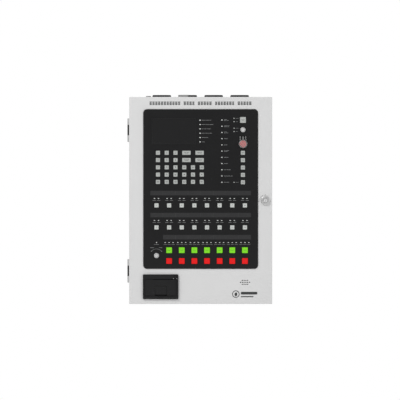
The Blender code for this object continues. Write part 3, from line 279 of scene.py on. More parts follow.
def slab(bm, x, z, width, height, back, front, radius=0.0003, segments=1):
    """A soft block given by its middle and size as seen from the front."""
    low, high = (x - width / 2, front, z - height / 2), (x + width / 2, back, z + height / 2)
    soft_block(bm, low, high, radius, segments)


def outline_loop(bm, x, z, width, height, corner, y, steps):
    """A ring of points around an upright rectangle with round corners."""
    corner = max(0.0, min(corner, width / 2, height / 2))
    turns = ((-1, -1), (1, -1), (1, 1), (-1, 1))
    if corner < 1e-6:
        return [bm.verts.new((x + a * width / 2, y, z + b * height / 2)) for a, b in turns]
    loop = []
    for quarter, (a, b) in enumerate(turns):
        centre_x = x + a * (width / 2 - corner)
        centre_z = z + b * (height / 2 - corner)
        for step in range(steps + 1):
            angle = math.pi + (quarter + step / steps) * math.pi / 2
            place = (centre_x + corner * math.cos(angle), y, centre_z + corner * math.sin(angle))
            loop.append(bm.verts.new(place))
    return loop


def stack(bm, x, z, layers, steps=4):
    """An upright plate from its back to its front, given as (width, height, corner, y) outlines."""
    loops = [outline_loop(bm, x, z, *layer, steps) for layer in layers]
    for near, far in zip(loops, loops[1:]):
        for index in range(len(near)):
            after = (index + 1) % len(near)
            bm.faces.new((near[index], near[after], far[after], far[index]))
    bm.faces.new(loops[0][::-1])
    bm.faces.new(loops[-1])
    return [vert for loop in loops for vert in loop]


def panel(bm, x, z, width, height, back, front, corner=0.0, edge=0.0, steps=4):
    """An upright plate that faces -Y, with round corners and a rounded front edge as asked."""
    layers = [(width, height, corner, back)]
    for turn in (0.0, 22.5, 45.0, 67.5, 90.0) if edge else (90.0,):
        inset = edge * (1 - math.cos(math.radians(turn)))
        rise = edge * (1 - math.sin(math.radians(turn)))
        inner_corner = corner and max(corner - inset, 1e-5)
        layers.append((width - 2 * inset, height - 2 * inset, inner_corner, front + rise))
    return stack(bm, x, z, layers, steps)


def rod(bm, start, length, radius, axis="Y", steps=24):
    """A cylinder that runs along one axis from start."""
    turns = {"X": Matrix.Rotation(math.pi / 2, 4, "Y"), "Y": Matrix.Rotation(-math.pi / 2, 4, "X")}
    along = {"X": (length / 2, 0, 0), "Y": (0, length / 2, 0), "Z": (0, 0, length / 2)}[axis]
    place = Matrix.Translation(start) @ Matrix.Translation(along) @ turns.get(axis, Matrix.Identity(4))
    bmesh.ops.create_cone(
        bm, cap_ends=True, segments=steps, radius1=radius, radius2=radius, depth=length, matrix=place
    )


def lathe(bm, profile, centre, facing="front", steps=48, ring=False):
    """Turns a profile of (radius, height) points about an axis that faces front, up, down or right."""
    turn = {
        "front": Matrix.Rotation(math.pi / 2, 4, "X"),
        "right": Matrix.Rotation(math.pi / 2, 4, "Y"),
        "up": Matrix.Identity(4),
        "down": Matrix.Rotation(math.pi, 4, "X"),
    }[facing]
    place = Matrix.Translation(centre) @ turn
    loops = []
    for radius, height in profile:
        if radius < 1e-7:
            loops.append([bm.verts.new(place @ Vector((0.0, 0.0, height)))])
            continue
        angles = [2 * math.pi * step / steps for step in range(steps)]
        points = [Vector((radius * math.cos(a), radius * math.sin(a), height)) for a in angles]
        loops.append([bm.verts.new(place @ point) for point in points])
    faces = []
    pairs = list(zip(loops, loops[1:])) + ([(loops[-1], loops[0])] if ring else [])
    for upper, lower in pairs:
        for step in range(steps):
            after = (step + 1) % steps
            corners = [upper[step % len(upper)], upper[after % len(upper)]]
            corners += [lower[after % len(lower)], lower[step % len(lower)]]
            unique = list(dict.fromkeys(corners))
            if len(unique) > 2:
                faces.append(bm.faces.new(unique))
    bmesh.ops.recalc_face_normals(bm, faces=faces)


def turned(node, outline, steps, ring=False, y=0.0):
    """A round part on a node's own axis. Its outline is (radius, distance in front of y) points."""
    place = middle(node)
    return made(lathe, outline, (place.x, y, place.z), "front", steps, ring)


def to_object(name, bm):
    mesh = bpy.data.meshes.new(name)
    bm.to_mesh(mesh)
    bm.free()
    obj = bpy.data.objects.new(name, mesh)
    bpy.context.scene.collection.objects.link(obj)
    return obj


def drop(obj):
    mesh = obj.data
    bpy.data.objects.remove(obj)
    bpy.data.meshes.remove(mesh)


def evaluated(obj):
    """The shape that an object's modifiers make, as a new bmesh."""
    bpy.context.view_layer.update()
    depsgraph = bpy.context.evaluated_depsgraph_get()
    shown = obj.evaluated_get(depsgraph)
    mesh = shown.to_mesh()
    bm = bmesh.new()
    bm.from_mesh(mesh)
    shown.to_mesh_clear()
    return bm


def modified(bm, kind, **settings):
    """The shape that one modifier makes of a bmesh."""
    target = to_object("target", bm)
    modifier = target.modifiers.new("change", kind)
    for name, value in settings.items():
        setattr(modifier, name, value)
    result = evaluated(target)
    drop(target)
    return result


def carved(bm, other, operation="DIFFERENCE"):
    """One shape cut from another, or combined with it as the operation says."""
    tool = to_object("tool", other)
    result = modified(bm, "BOOLEAN", operation=operation, object=tool)
    drop(tool)
    return result


def joined(bm, other):
    return carved(bm, other, "UNION")


def nut(x, y, z, length, radius, hole, steps):
    """A six-sided nut with a round hole through it."""
    bore = made(rod, (x, y - length, z), 3 * length, hole, "Y", steps)
    return carved(made(rod, (x, y, z), length, radius, "Y", 6), bore)


def thickened(bm, thickness):
    """An open skin given the thickness of its sheet, inwards."""
    return modified(bm, "SOLIDIFY", thickness=thickness, offset=-1.0, use_even_offset=True)


def tray(low, high, fold, segments, thickness):
    """A folded sheet tray, open at its back."""
    bm = made(block, low, high)
    rim = max(bm.faces, key=lambda face: face.calc_center_median().y).edges[:]
    bevel(bm, [edge for edge in bm.edges if edge not in rim], fold, segments)
    rear = [face for face in bm.faces if face.normal.y > 0.99]
    bmesh.ops.delete(bm, geom=rear, context="FACES")
    return thickened(bm, thickness)


def piece(name, bm, material, body, slot, *nodes, smooth=32.0):
    """A finished piece that rides on a body and stands for the CAD nodes named."""
    obj = to_object(name, bm)
    obj.data.materials.append(material)
    obj.data.shade_smooth()
    obj.data.set_sharp_from_angle(angle=math.radians(smooth))
    return fit(obj, body, slot, *nodes)


def fit(obj, body, slot, *nodes):
    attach(obj, body)
    if nodes:
        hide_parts(*nodes)
    return obj


def dress(node, material):
    """Gives a CAD node, which keeps its own shape, a better finish."""
    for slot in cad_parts[node].material_slots:
        slot.material = material


def ink(bm, x, z, width, height, front=None):
    """A printed bar that stands a hair above its surface."""
    level = FASCIA_FRONT if front is None else front
    panel(bm, x, z, width, height, level + INK, level - INK, min(width, height) * 0.3, 0.0, 2)


def words(bm, left, z, width, height, seed, front=None):
    """A line of plain bars, in place of a printed caption."""
    gap = height * 0.9
    count = max(1, min(4, round(width / (height * 8))))
    shares = [1.0 + 0.45 * math.sin(2.3 * seed + 1.9 * index) for index in range(count)]
    unit = (width - gap * (count - 1)) / sum(shares)
    x = left
    for share in shares:
        ink(bm, x + unit * share / 2, z, unit * share, height, front)
        x += unit * share + gap


def two_lines(bm, x, z, widths, seeds, pitch, front):
    """Two centred lines of plain bars, in place of a key's caption."""
    for side, width, seed in zip((1, -1), widths, seeds):
        words(bm, x - width / 2, z + side * pitch, width, 0.0008, seed, front)


def arc(bm, x, z, radius, start, end, width, front, steps=20):
    """A printed arc, with angles in degrees clockwise from the top."""
    rings = []
    for step in range(steps + 1):
        angle = math.radians(start + (end - start) * step / steps)
        ring = []
        for y in (front - INK, front + INK):
            for reach in (radius - width / 2, radius + width / 2):
                ring.append(bm.verts.new((x + reach * math.sin(angle), y, z + reach * math.cos(angle))))
        rings.append(ring)
    for near, far in zip(rings, rings[1:]):
        for a, b in ((0, 1), (1, 3), (3, 2), (2, 0)):
            bm.faces.new((near[a], near[b], far[b], far[a]))
    bm.faces.new([rings[0][index] for index in (2, 3, 1, 0)])
    bm.faces.new([rings[-1][index] for index in (0, 1, 3, 2)])
    bmesh.ops.recalc_face_normals(bm, faces=bm.faces[:])


def arrow(bm, x, z, size, angle, front):
    """A printed triangle, with its point turned clockwise from the top by an angle in degrees."""
    rod(bm, (x, front - INK, z), 2 * INK, size, "Y", 3)
    verts = bm.verts[-6:]
    turn = Matrix.Rotation(math.radians(angle + 180), 4, "Y")
    bmesh.ops.rotate(bm, verts=verts, cent=(x, 0.0, z), matrix=turn)


def add_text(bm, text, x, z, height, front):
    """A figure or arrow from the built-in font, as thin raised print."""
    curve = bpy.data.curves.new("figure", "FONT")
    curve.body = text
    curve.size = height / 0.7
    curve.align_x = "CENTER"
    curve.align_y = "CENTER"
    curve.extrude = INK
    curve.resolution_u = 3
    obj = bpy.data.objects.new("figure", curve)
    bpy.context.scene.collection.objects.link(obj)
    obj.rotation_euler = (math.pi / 2, 0.0, 0.0)
    obj.location = (x, front, z)
    bpy.context.view_layer.update()
    mesh = bpy.data.meshes.new_from_object(obj.evaluated_get(bpy.context.evaluated_depsgraph_get()))
    mesh.transform(obj.matrix_world)
    bm.from_mesh(mesh)
    bpy.data.meshes.remove(mesh)
    bpy.data.objects.remove(obj)
    bpy.data.curves.remove(curve)


def cable(name, points, radius, material, body=None):
    """A wire along a smooth curve through its points, as a mesh. With no body, it is attached to none."""
    curve = bpy.data.curves.new(name, "CURVE")
    curve.dimensions = "3D"
    curve.bevel_depth = radius
    curve.bevel_resolution = 2
    curve.use_fill_caps = True
    curve.resolution_u = 8
    spline = curve.splines.new("BEZIER")
    spline.bezier_points.add(len(points) - 1)
    for target, point in zip(spline.bezier_points, points):
        target.co = point
        target.handle_left_type = "AUTO"
        target.handle_right_type = "AUTO"
    obj = bpy.data.objects.new(name, curve)
    bpy.context.scene.collection.objects.link(obj)
    bm = evaluated(obj)
    bmesh.ops.remove_doubles(bm, verts=bm.verts, dist=1e-6)
    bpy.data.objects.remove(obj)
    bpy.data.curves.remove(curve)
    wire = to_object(name, bm)
    wire.data.materials.append(material)
    wire.data.shade_smooth()
    if body:
        return fit(wire, body, "wire")
    return wire


# Cabinet


FLANGE = 0.008
FOLD = 0.0012
SEAL_OUT, SEAL_IN = FLANGE - 0.0060, FLANGE - 0.0012
ENTRY_PLUGS = [f"cable_plug_{number}" for number in (1, 2, 3, 4)]
PLUG_RISE = 0.0055
EARTH_BOSS = (-0.139, middle(ENTRY_PLUGS[0]).y, HALF_HEIGHT)
KEYHOLE_X, KEYHOLE_Z = 0.150, 0.215
HINGE_X, HINGE_Y = -0.1904, -0.1005
HINGE_NODES = {"upper": middle("hinge_upper_pin").z, "lower": middle("hinge_lower_pin").z}
NOTCH = 0.0050


def hinge_notches(bm):
    """The blocks that cut room for both hinges."""
    for centre in HINGE_NODES.values():
        block(bm, (-HALF_WIDTH - 0.002, HINGE_Y - 0.0055, centre - 0.032),
              (-HALF_WIDTH + NOTCH, HINGE_Y + 0.0062, centre + 0.032))


def make_box():
    bm = made(block, (-HALF_WIDTH, BOX_FRONT, -HALF_HEIGHT), (HALF_WIDTH, 0.0, HALF_HEIGHT))
    bevel(bm, bm.edges[:], FOLD, 3)
    front = max((f for f in bm.faces if f.normal.y < -0.99), key=lambda f: f.calc_area())
    bmesh.ops.inset_region(bm, faces=[front], thickness=FLANGE - FOLD, use_even_offset=True)
    bmesh.ops.delete(bm, geom=[front], context="FACES")
    holes = bmesh.new()
    for node in ENTRY_PLUGS:
        place = middle(node)
        rod(holes, (place.x, place.y, HALF_HEIGHT - 3 * SHEET), 6 * SHEET, 0.022, "Z", 40)
    hinge_notches(holes)
    bm = carved(thickened(bm, SHEET), holes)
    for side, level in CORNERS:
        x, z = side * KEYHOLE_X, level * KEYHOLE_Z
        hole = made(rod, (x, -2 * SHEET, z), 4 * SHEET, 0.0055, "Y", 32)
        slot = made(panel, x, z + 0.005, 0.0056, 0.0156, 2 * SHEET, -2 * SHEET, 0.0027)
        bm = carved(bm, joined(hole, slot))
    profile = [(0.0, 0.0025), (0.0058, 0.0025), (0.00675, 0.0016), (0.00675, -0.0010), (0.0, -0.0010)]
    bm = joined(bm, made(lathe, profile, EARTH_BOSS, "up"))
    piece("box_shell", bm, POWDER, "cabinet", "powder_coat", "back_box")
    profile = [(0.0, 0.0032), (0.0052, 0.0032), (0.0062, 0.0026), (0.0070, 0.0012), (0.0070, 0.0002),
               (0.0, 0.0002)]
    piece("earth_cap", made(lathe, profile, EARTH_BOSS, "up"), TAG, "cabinet", "hinge_grey")

    seal = bmesh.new()
    faces = (BOX_FRONT - 0.00005, BOX_FRONT - 0.0008)
    line, width = (SEAL_OUT + SEAL_IN) / 2, SEAL_IN - SEAL_OUT
    for side in SIDES:
        slab(seal, side * (HALF_WIDTH - line), 0.0, width, 2 * (HALF_HEIGHT - SEAL_IN - 0.0003), *faces)
        slab(seal, 0.0, side * (HALF_HEIGHT - line), 2 * (HALF_WIDTH - SEAL_OUT), width, *faces)
    piece("seal_strip", carved(seal, made(hinge_notches)), FOAM, "cabinet", "black_rubber")


def make_plugs():
    rise = PLUG_RISE
    outline = [
        (0.0, rise * 0.55), (0.0085, rise * 0.55), (0.0092, rise * 0.62), (0.0104, rise * 0.94),
        (0.0112, rise), (0.0150, rise), (0.0152, rise * 0.92), (0.0158, rise * 0.92), (0.0160, rise),
        (0.0200, rise), (0.0202, rise * 0.92), (0.0208, rise * 0.92), (0.0210, rise), (0.0228, rise),
        (0.0238, rise * 0.93), (0.0248, rise * 0.45), (0.0250, rise * 0.25), (0.0250, 0.0003),
        (0.0217, 0.0003), (0.0217, -0.0018), (0.02375, -0.0018), (0.0225, -0.0048), (0.0, -0.0048),
    ]
    tag = [(0.0, rise + 0.0005), (0.0246, rise + 0.0005), (0.0254, rise * 0.85), (0.0254, 0.0004),
           (0.0, 0.0004)]
    room = [(0.0, rise + 0.00005), (0.0229, rise + 0.00005), (0.02505, rise * 0.25), (0.02505, -0.001),
            (0.0, -0.001)]
    for number, node in enumerate(ENTRY_PLUGS, 1):
        place = middle(node)
        bm = made(lathe, outline, (place.x, place.y, HALF_HEIGHT), "up", 64)
        piece(f"entry_plug_{number}", bm, RUBBER, "cabinet", "black_rubber", node, smooth=25)
    x, y, z = centre = (middle(ENTRY_PLUGS[1]).x, middle(ENTRY_PLUGS[1]).y, HALF_HEIGHT)
    half = made(block, (x - 0.03, y - 0.03, z - 0.01), (x + 0.001, y + 0.03, z + 0.01))
    bm = carved(made(lathe, tag, centre, "up", 64), half, "INTERSECT")
    bm = carved(bm, made(lathe, room, centre, "up", 64))
    piece("entry_tag", bm, TAG, "cabinet", "hinge_grey")


# Door


FASCIA_LAP = 0.004


def make_door():
    bm = tray((-HALF_WIDTH, DOOR_FRONT, -HALF_HEIGHT), (HALF_WIDTH, DOOR_BACK, HALF_HEIGHT), FOLD, 3, SHEET)
    back, front = DOOR_FRONT + 2 * SHEET, DOOR_FRONT - SHEET
    centre, size = middle("fascia"), FASCIA_HIGH - FASCIA_LOW
    width, height = size.x - 2 * FASCIA_LAP, size.z - 2 * FASCIA_LAP
    holes = made(panel, centre.x, centre.z, width, height, back, front, 0.006)
    printer, lock = middle("printer_housing"), middle("lock_barrel")
    panel(holes, printer.x, printer.z, 0.0886, 0.0606, back, front)
    rod(holes, (lock.x, front, lock.z), back - front, 0.0078, "Y", 40)
    for x, z in speaker_holes():
        rod(holes, (x, front, z), back - front, 0.00155, "Y", 20)
    hinge_notches(holes)
    piece("door_skin", carved(bm, holes), POWDER, "door", "powder_coat", "door")


def speaker_holes():
    place = middle("speaker")
    return [
        (place.x + (index - (count - 1) / 2) * 0.0048, place.z + row * 0.0052)
        for row, count in ((-1, 4), (0, 6), (1, 4))
        for index in range(count)
    ]


# Keys


SMALL = 0.0112
ZONE = 0.0114
WIDE = 0.0227
PITCH_X, PITCH_Z = 0.02326, 0.0193
ZONE_PITCH = 0.03354
ZONE_ROWS = (-0.0131, -0.0716)
MAT_EDGE = 0.003
CAP_BACK = FASCIA_BACK + GAP
CAP_PLAY = 0.0004
CAP_ROOM = 0.0006
CAP_CORNER = 0.0013
CAP_PROFILE = ((0.00008, 0.0003), (0.0003, 0.00008), (0.0006, 0.0), (0.0012, 0.00001), (0.0022, 0.0001))
SKIRT = 0.0028
LEGEND = KEY_TOP + 0.00010
KEYPAD_FIGURES = "123456789*0#"
ARROWS = {(4, 2): 0, (3, 3): -90, (5, 3): 90, (4, 4): 180}


def mat_grid(node):
    """Where a mat's first small key is."""
    low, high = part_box(node)
    inset = MAT_EDGE + SMALL / 2
    return low.x + inset, high.z - inset


def keypad_keys():
    left, top = mat_grid("keypad_mat")
    keys = []
    for row in range(5):
        z = top - row * PITCH_Z
        keys += [(left + column * PITCH_X, z, SMALL) for column in range(3 if row < 2 else 6)]
        if row < 2:
            keys += [(left + 0.0756 + index * 0.035, z, WIDE) for index in range(2)]
    return keys


def zone_keys():
    left = mat_grid("zone_key_mat")[0] + (ZONE - SMALL) / 2
    return [(left + index * ZONE_PITCH, z, ZONE) for z in ZONE_ROWS for index in range(8)]


def key_cap(bm, x, z, width, height):
    """A key cap with round edges and a shallow dish in its top."""
    width, height = width - CAP_PLAY, height - CAP_PLAY
    layers = [(width, height, CAP_CORNER, CAP_BACK + 0.0004), (width, height, CAP_CORNER, KEY_TOP + 0.0006)]
    for inset, dip in CAP_PROFILE:
        layers.append((width - 2 * inset, height - 2 * inset, CAP_CORNER - inset * 0.4, KEY_TOP + dip))
    stack(bm, x, z, layers)


def make_mats():
    for name, node, body, keys, material in (
        ("keypad", "keypad_mat", "keypad", keypad_keys(), GREY_KEY),
        ("zone_keys", "zone_key_mat", "zone_keys", zone_keys(), ZONE_KEY),
    ):
        low, high, place = around(node)
        bm = made(panel, place.x, place.z, high.x - low.x, high.z - low.z, high.y, CAP_BACK, 0.003)
        for x, z, width in keys:
            key_cap(bm, x, z, width, ZONE if width == ZONE else SMALL)
        piece(f"{name}_silicone", bm, material, body, "key_grey", node, smooth=40)
    legends = bmesh.new()
    figures = iter(KEYPAD_FIGURES)
    left, top = mat_grid("keypad_mat")
    for index, (x, z, width) in enumerate(keypad_keys()):
        column = round((x - left) / PITCH_X)
        row = round((top - z) / PITCH_Z)
        if width == SMALL and column < 3 and row < 4:
            add_text(legends, next(figures), x, z, 0.0042, LEGEND)
        elif (column, row) in ARROWS:
            arrow(legends, x, z, 0.0021, ARROWS[column, row], LEGEND)
        elif (column, row) == (4, 3):
            arc(legends, x, z, 0.0017, 0, 360, 0.0006, LEGEND)
        else:
            two_lines(legends, x, z, (width * 0.6, width * 0.44), (index, index + 3), 0.0011, LEGEND)
    piece("keypad_legends", legends, KEY_INK, "keypad", "print_ink")
    legends = bmesh.new()
    for index, (x, z, width) in enumerate(zone_keys()):
        add_text(legends, str(index + 1), x, z, 0.0036, LEGEND)
    piece("zone_legends", legends, DIM_INK, "zone_keys", "print_ink")


def single_nodes():
    yield "square_key", GREY_KEY, "key_grey"
    for number in range(1, 6):
        yield f"function_key_{number}", GREY_KEY, "key_grey"
    for number in range(1, 8):
        yield f"start_key_{number}", GREEN_KEY, "key_green"
        yield f"stop_key_{number}", RED_KEY, "key_red"


def single_width(node):
    """The width of a single key's cap, which is narrower than its skirt."""
    low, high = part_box(node)
    return high.x - low.x - SKIRT


def make_single_keys():
    for node, material, slot in single_nodes():
        place, width = middle(node), single_width(node)
        bm = made(key_cap, place.x, place.z, width, width)
        panel(bm, place.x, place.z, width + SKIRT, width + SKIRT, CAP_BACK + 0.0010, CAP_BACK, 0.001)
        panel(bm, place.x, place.z, 0.006, 0.006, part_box(node)[1].y, CAP_BACK + 0.0008, 0.0008)
        piece(f"{node}_cap", bm, material, node, slot, node, smooth=40)
        marks = bmesh.new()
        if slot == "key_grey":
            seed = int(node[-1]) if node[-1].isdigit() else 0
            two_lines(marks, place.x, place.z, (width * 0.6, width * 0.4), (seed, seed + 2), 0.001, LEGEND)
            shade = DIM_INK
        else:
            ink(marks, place.x, place.z, width * 0.5, 0.0009, LEGEND)
            shade = GREEN_PRINT if slot == "key_green" else RED_PRINT
        piece(f"{node}_legend", marks, shade, node, "print_ink")


# Fascia


WINDOW = middle("lcd_window")
WINDOW_FLARE = 0.0012


def make_fascia():
    centre, size = middle("fascia"), FASCIA_HIGH - FASCIA_LOW
    bm = made(panel, centre.x, centre.z, size.x, size.z, FASCIA_BACK, FASCIA_FRONT, 0.010, 0.0004, 10)
    holes = bmesh.new()
    back, front = FASCIA_BACK + 0.001, FASCIA_FRONT - 0.001
    for x, z, width in keypad_keys() + zone_keys():
        height = ZONE if width == ZONE else SMALL
        panel(holes, x, z, width + CAP_ROOM, height + CAP_ROOM, back, front, CAP_CORNER)
    for node, _, _ in single_nodes():
        place, width = middle(node), single_width(node) + CAP_ROOM
        panel(holes, place.x, place.z, width, width, back, front, CAP_CORNER)
    for node, radius, steps in (
        ("silence_switch_barrel", 0.0057, 32),
        ("mode_switch_barrel", 0.0057, 32),
        ("emergency_button", 0.0103, 40),
    ):
        place = middle(node)
        rod(holes, (place.x, front, place.z), back - front, radius, "Y", steps)
    opening = (WINDOW.x - 0.0585, front, WINDOW.z - 0.034), (WINDOW.x + 0.0585, back, WINDOW.z + 0.034)
    for vert in block(holes, *opening):
        if vert.co.y < FASCIA_FRONT:
            vert.co.x += math.copysign(WINDOW_FLARE, vert.co.x - WINDOW.x)
            vert.co.z += math.copysign(WINDOW_FLARE, vert.co.z - WINDOW.z)
    piece("fascia_plate", carved(bm, holes), FILM, "door", "black_film", "fascia", smooth=25)


def make_display():
    x, z = WINDOW.x, WINDOW.z
    bm = made(panel, x, z, 0.1164, 0.0674, CAP_BACK + 0.0010, FASCIA_FRONT + 0.0003, 0.0004, 0.0003)
    panel(bm, x, z, 0.122, 0.073, CAP_BACK + 0.0010, CAP_BACK, 0.001)
    piece("display_window", bm, GLASS, "door", "display_glass", "lcd_window")
    bm = made(panel, x, z, 0.1180, 0.0690, FASCIA_FRONT + 0.0006, FASCIA_FRONT - 0.0003, 0.0012, 0.0002)
    inner = made(panel, x, z, 0.1152, 0.0662, FASCIA_FRONT + 0.0010, FASCIA_FRONT - 0.0010, 0.0006)
    piece("display_frame", carved(bm, inner), TRIM, "door", "black_plastic")

    low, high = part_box("lcd_module")
    bm = made(panel, x, z, high.x - low.x, high.z - low.z, high.y, low.y + 0.0008, 0.0015, 0.0006)
    for side, level in CORNERS:
        rod(bm, (x + side * 0.062, low.y, z + level * 0.038), 0.0009, 0.002, "Y", 16)
    piece("display_module", bm, BLACK, "door", "black_plastic", "lcd_module")


# Indicators and print on the fascia


# A column's lenses: X and width. Its captions: left end. Its rows: the first one's height, the step between
# them, and where each line of a row's caption ends.
STATUS_COLUMNS = (
    (-0.0014, 0.0042, 0.0037, 0.2131, 0.01152, (
        (0.0280,), (0.0336,), (0.0267,), (0.0300,), (0.0200,), (0.0110,),
    )),
    (0.05645, 0.0036, 0.0619, 0.2136, 0.01652, (
        (0.0700, 0.0743), (0.0766, 0.0750), (0.0700, 0.0735), (0.0716,), (0.0708,), (0.0755, 0.0713),
        (0.0740,), (0.0722,), (0.0796,), (0.0852,), (0.0753,),
    )),
)
SWITCH_LENS_X, SWITCH_TEXT_X = 0.0888, 0.0930
SWITCH_ROWS = (0.2180, 0.2091, 0.1918, 0.1830, 0.0481)
TEXT_LINE = 0.0013
LAMP_STEP = 0.01045
LAMP_Z, LAMP_TEXT_Z, SIGN_Z = -0.1117, -0.1168, -0.1254


def lens(bm, x, z, width, height):
    corner = min(width, height) * 0.32
    panel(bm, x, z, width, height, FASCIA_FRONT + 0.0004, FASCIA_FRONT - 0.0004, corner, 0.0003)


def make_indicators():
    lenses, captions = bmesh.new(), bmesh.new()
    for lens_x, width, left, top, pitch, rows in STATUS_COLUMNS:
        for row, ends in enumerate(rows):
            z = top - row * pitch
            lens(lenses, lens_x, z, width, 0.0025)
            height = 0.0009 if len(ends) == 1 else 0.0008
            for line, end in enumerate(ends):
                level = z + TEXT_LINE * (len(ends) - 1 - 2 * line)
                words(captions, left, level, end - left, height, row + 3 * line)
    piece("status_lenses", lenses, LENS_PLASTIC, "door", "led_lens")
    piece("status_captions", captions, LIGHT_INK, "door", "print_ink")

    lenses, captions = bmesh.new(), bmesh.new()
    for index, z in enumerate(SWITCH_ROWS):
        lens(lenses, SWITCH_LENS_X, z, 0.0034, 0.0024)
        words(captions, SWITCH_TEXT_X, z, (0.0080, 0.0060)[index % 2], 0.0008, index)
    piece("switch_lenses", lenses, FAINT_LENS, "door", "led_lens")
    piece("switch_captions", captions, DIM_INK, "door", "print_ink")

    lenses, captions = bmesh.new(), bmesh.new()
    for index, (x, z, _) in enumerate(zone_keys()):
        for side in SIDES:
            lens(lenses, x + side * 0.0054, z + 0.0184, 0.0037, 0.0019)
            words(captions, x + side * 0.0060 - 0.0043, z + 0.0132, 0.0086, 0.0011, index + side)
    piece("zone_lenses", lenses, LENS_PLASTIC, "door", "led_lens")

    lenses = bmesh.new()
    for number in range(1, 8):
        for step in (-1, 0, 1):
            x = middle(f"start_key_{number}").x + step * LAMP_STEP
            lens(lenses, x, LAMP_Z, 0.0035, 0.0018)
            words(captions, x - 0.0042, LAMP_TEXT_Z, 0.0084, 0.0009, number + step)
    switch = middle("mode_switch_barrel")
    rod(lenses, (switch.x, FASCIA_FRONT - 0.0004, -0.1118), 0.0008, 0.0014, "Y", 24)
    words(captions, switch.x - 0.0065, LAMP_TEXT_Z, 0.0130, 0.0011, 2)
    words(captions, -0.1340, SIGN_Z, 0.0100, 0.0013, 1)
    words(captions, -0.1102, SIGN_Z, 0.0082, 0.0013, 4)
    piece("control_lenses", lenses, LENS_PLASTIC, "door", "led_lens")
    arc(captions, switch.x, switch.z, 0.0177, -46, 44, 0.0008, FASCIA_FRONT)
    rod(captions, (switch.x - 0.0133, FASCIA_FRONT - INK, switch.z + 0.0117), 2 * INK, 0.0013, "Y", 20)
    arrow(captions, switch.x + 0.0136, switch.z + 0.0113, 0.0020, 135, FASCIA_FRONT)
    piece("zone_captions", captions, DIM_INK, "door", "print_ink")


STRIP_RIGHT = 0.1337
STRIPS = ((-0.1335, 0.01955, 0), (-0.1335, -0.03885, 0), (-0.0999, -0.09755, 1))


def make_label_strips():
    for number, (left, z, first) in enumerate(STRIPS, 1):
        bm = made(panel, (left + STRIP_RIGHT) / 2, z, STRIP_RIGHT - left, 0.0120, FASCIA_FRONT + 0.0002,
                  FASCIA_FRONT - 0.0003, 0.0008, 0.00015)
        piece(f"label_strip_{number}", bm, STRIP, "door", "label_strip")
        marks = bmesh.new()
        for x, _, _ in zone_keys()[first:7]:
            ink(marks, x + ZONE_PITCH / 2, z, 0.0003, 0.0100, FASCIA_FRONT - 0.0003)
        piece(f"label_rules_{number}", marks, RULE, "door", "print_ink")


TITLE_LENGTHS = (11, 4, 5, 7, 5)
TITLE_LEFT, TITLE_WIDTH, TITLE_Z = -0.136, 0.272, 0.2580


def make_door_print():
    """The title line and the corner mark, as plain shapes."""
    title = bmesh.new()
    pitch = TITLE_WIDTH / (sum(TITLE_LENGTHS) + len(TITLE_LENGTHS) - 1)
    x = TITLE_LEFT
    count = 0
    for length in TITLE_LENGTHS:
        for _ in range(length):
            width = pitch * (0.78 + 0.08 * math.sin(3.1 * count))
            for row in (-1, 0, 1):
                ink(title, x + pitch * 0.44, TITLE_Z + row * 0.0033, width, 0.0025, DOOR_FRONT)
            x += pitch
            count += 1
        x += pitch
    piece("title_bars", title, DARK_INK, "door", "print_ink")

    mark = made(arc, 0.0935, -0.2487, 0.0088, 0, 360, 0.0020, DOOR_FRONT, 40)
    flame(mark, 0.0935, -0.2492, 0.0062, DOOR_FRONT)
    ink(mark, 0.1285, -0.2462, 0.0440, 0.0072, DOOR_FRONT)
    ink(mark, 0.1235, -0.2555, 0.0340, 0.0028, DOOR_FRONT)
    piece("corner_mark", mark, DARK_INK, "door", "print_ink")


def flame(bm, x, z, size, front):
    """A plain flame: a drop with its tip bent to one side."""
    steps = 28
    rings = []
    for level in (front - INK, front + INK):
        ring = []
        for step in range(steps):
            angle = 2 * math.pi * step / steps
            lift = (1 - math.cos(angle)) / 2
            across = math.sin(angle) * 0.62 * (1 - lift) ** 0.5 * (0.35 + lift) * 1.6 + 0.18 * lift ** 4
            ring.append(bm.verts.new((x + size * across, level, z + size * (2 * lift - 1) * 0.9)))
        rings.append(ring)
    bm.faces.new(rings[0])
    bm.faces.new(rings[1][::-1])
    for step in range(steps):
        after = (step + 1) % steps
        bm.faces.new((rings[0][step], rings[0][after], rings[1][after], rings[1][step]))
    bmesh.ops.recalc_face_normals(bm, faces=bm.faces[:])


# Switches, guard and lock


LOCK_STEP = 0.1015


def keyed_plug(name, node, body, radius, back, angle, slot_size, tail=()):
    """A lock's turning core, from its key slot in the front to its end at back, or at its tail's end."""
    place = middle(node)
    top = -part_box(node)[0].y
    chamfer = 0.0003
    outline = [(0.0, top), (radius - chamfer, top), (radius, top - chamfer), (radius, back), *tail]
    outline.append((0.0, outline[-1][1]))
    width, height = slot_size
    slot = made(panel, place.x, place.z, width, height, -top + 0.0016, -top - 0.002, width * 0.3)
    ward = made(panel, place.x + width * 0.5, place.z + height * 0.12, width, height * 0.22,
                -top + 0.0014, -top - 0.0021)
    slot = joined(slot, ward)
    turn = Matrix.Rotation(angle, 4, "Y")
    bmesh.ops.rotate(slot, verts=slot.verts, cent=(place.x, 0.0, place.z), matrix=turn)
    piece(name, carved(turned(node, outline, 48), slot), CORE, body, "bright_metal", node)


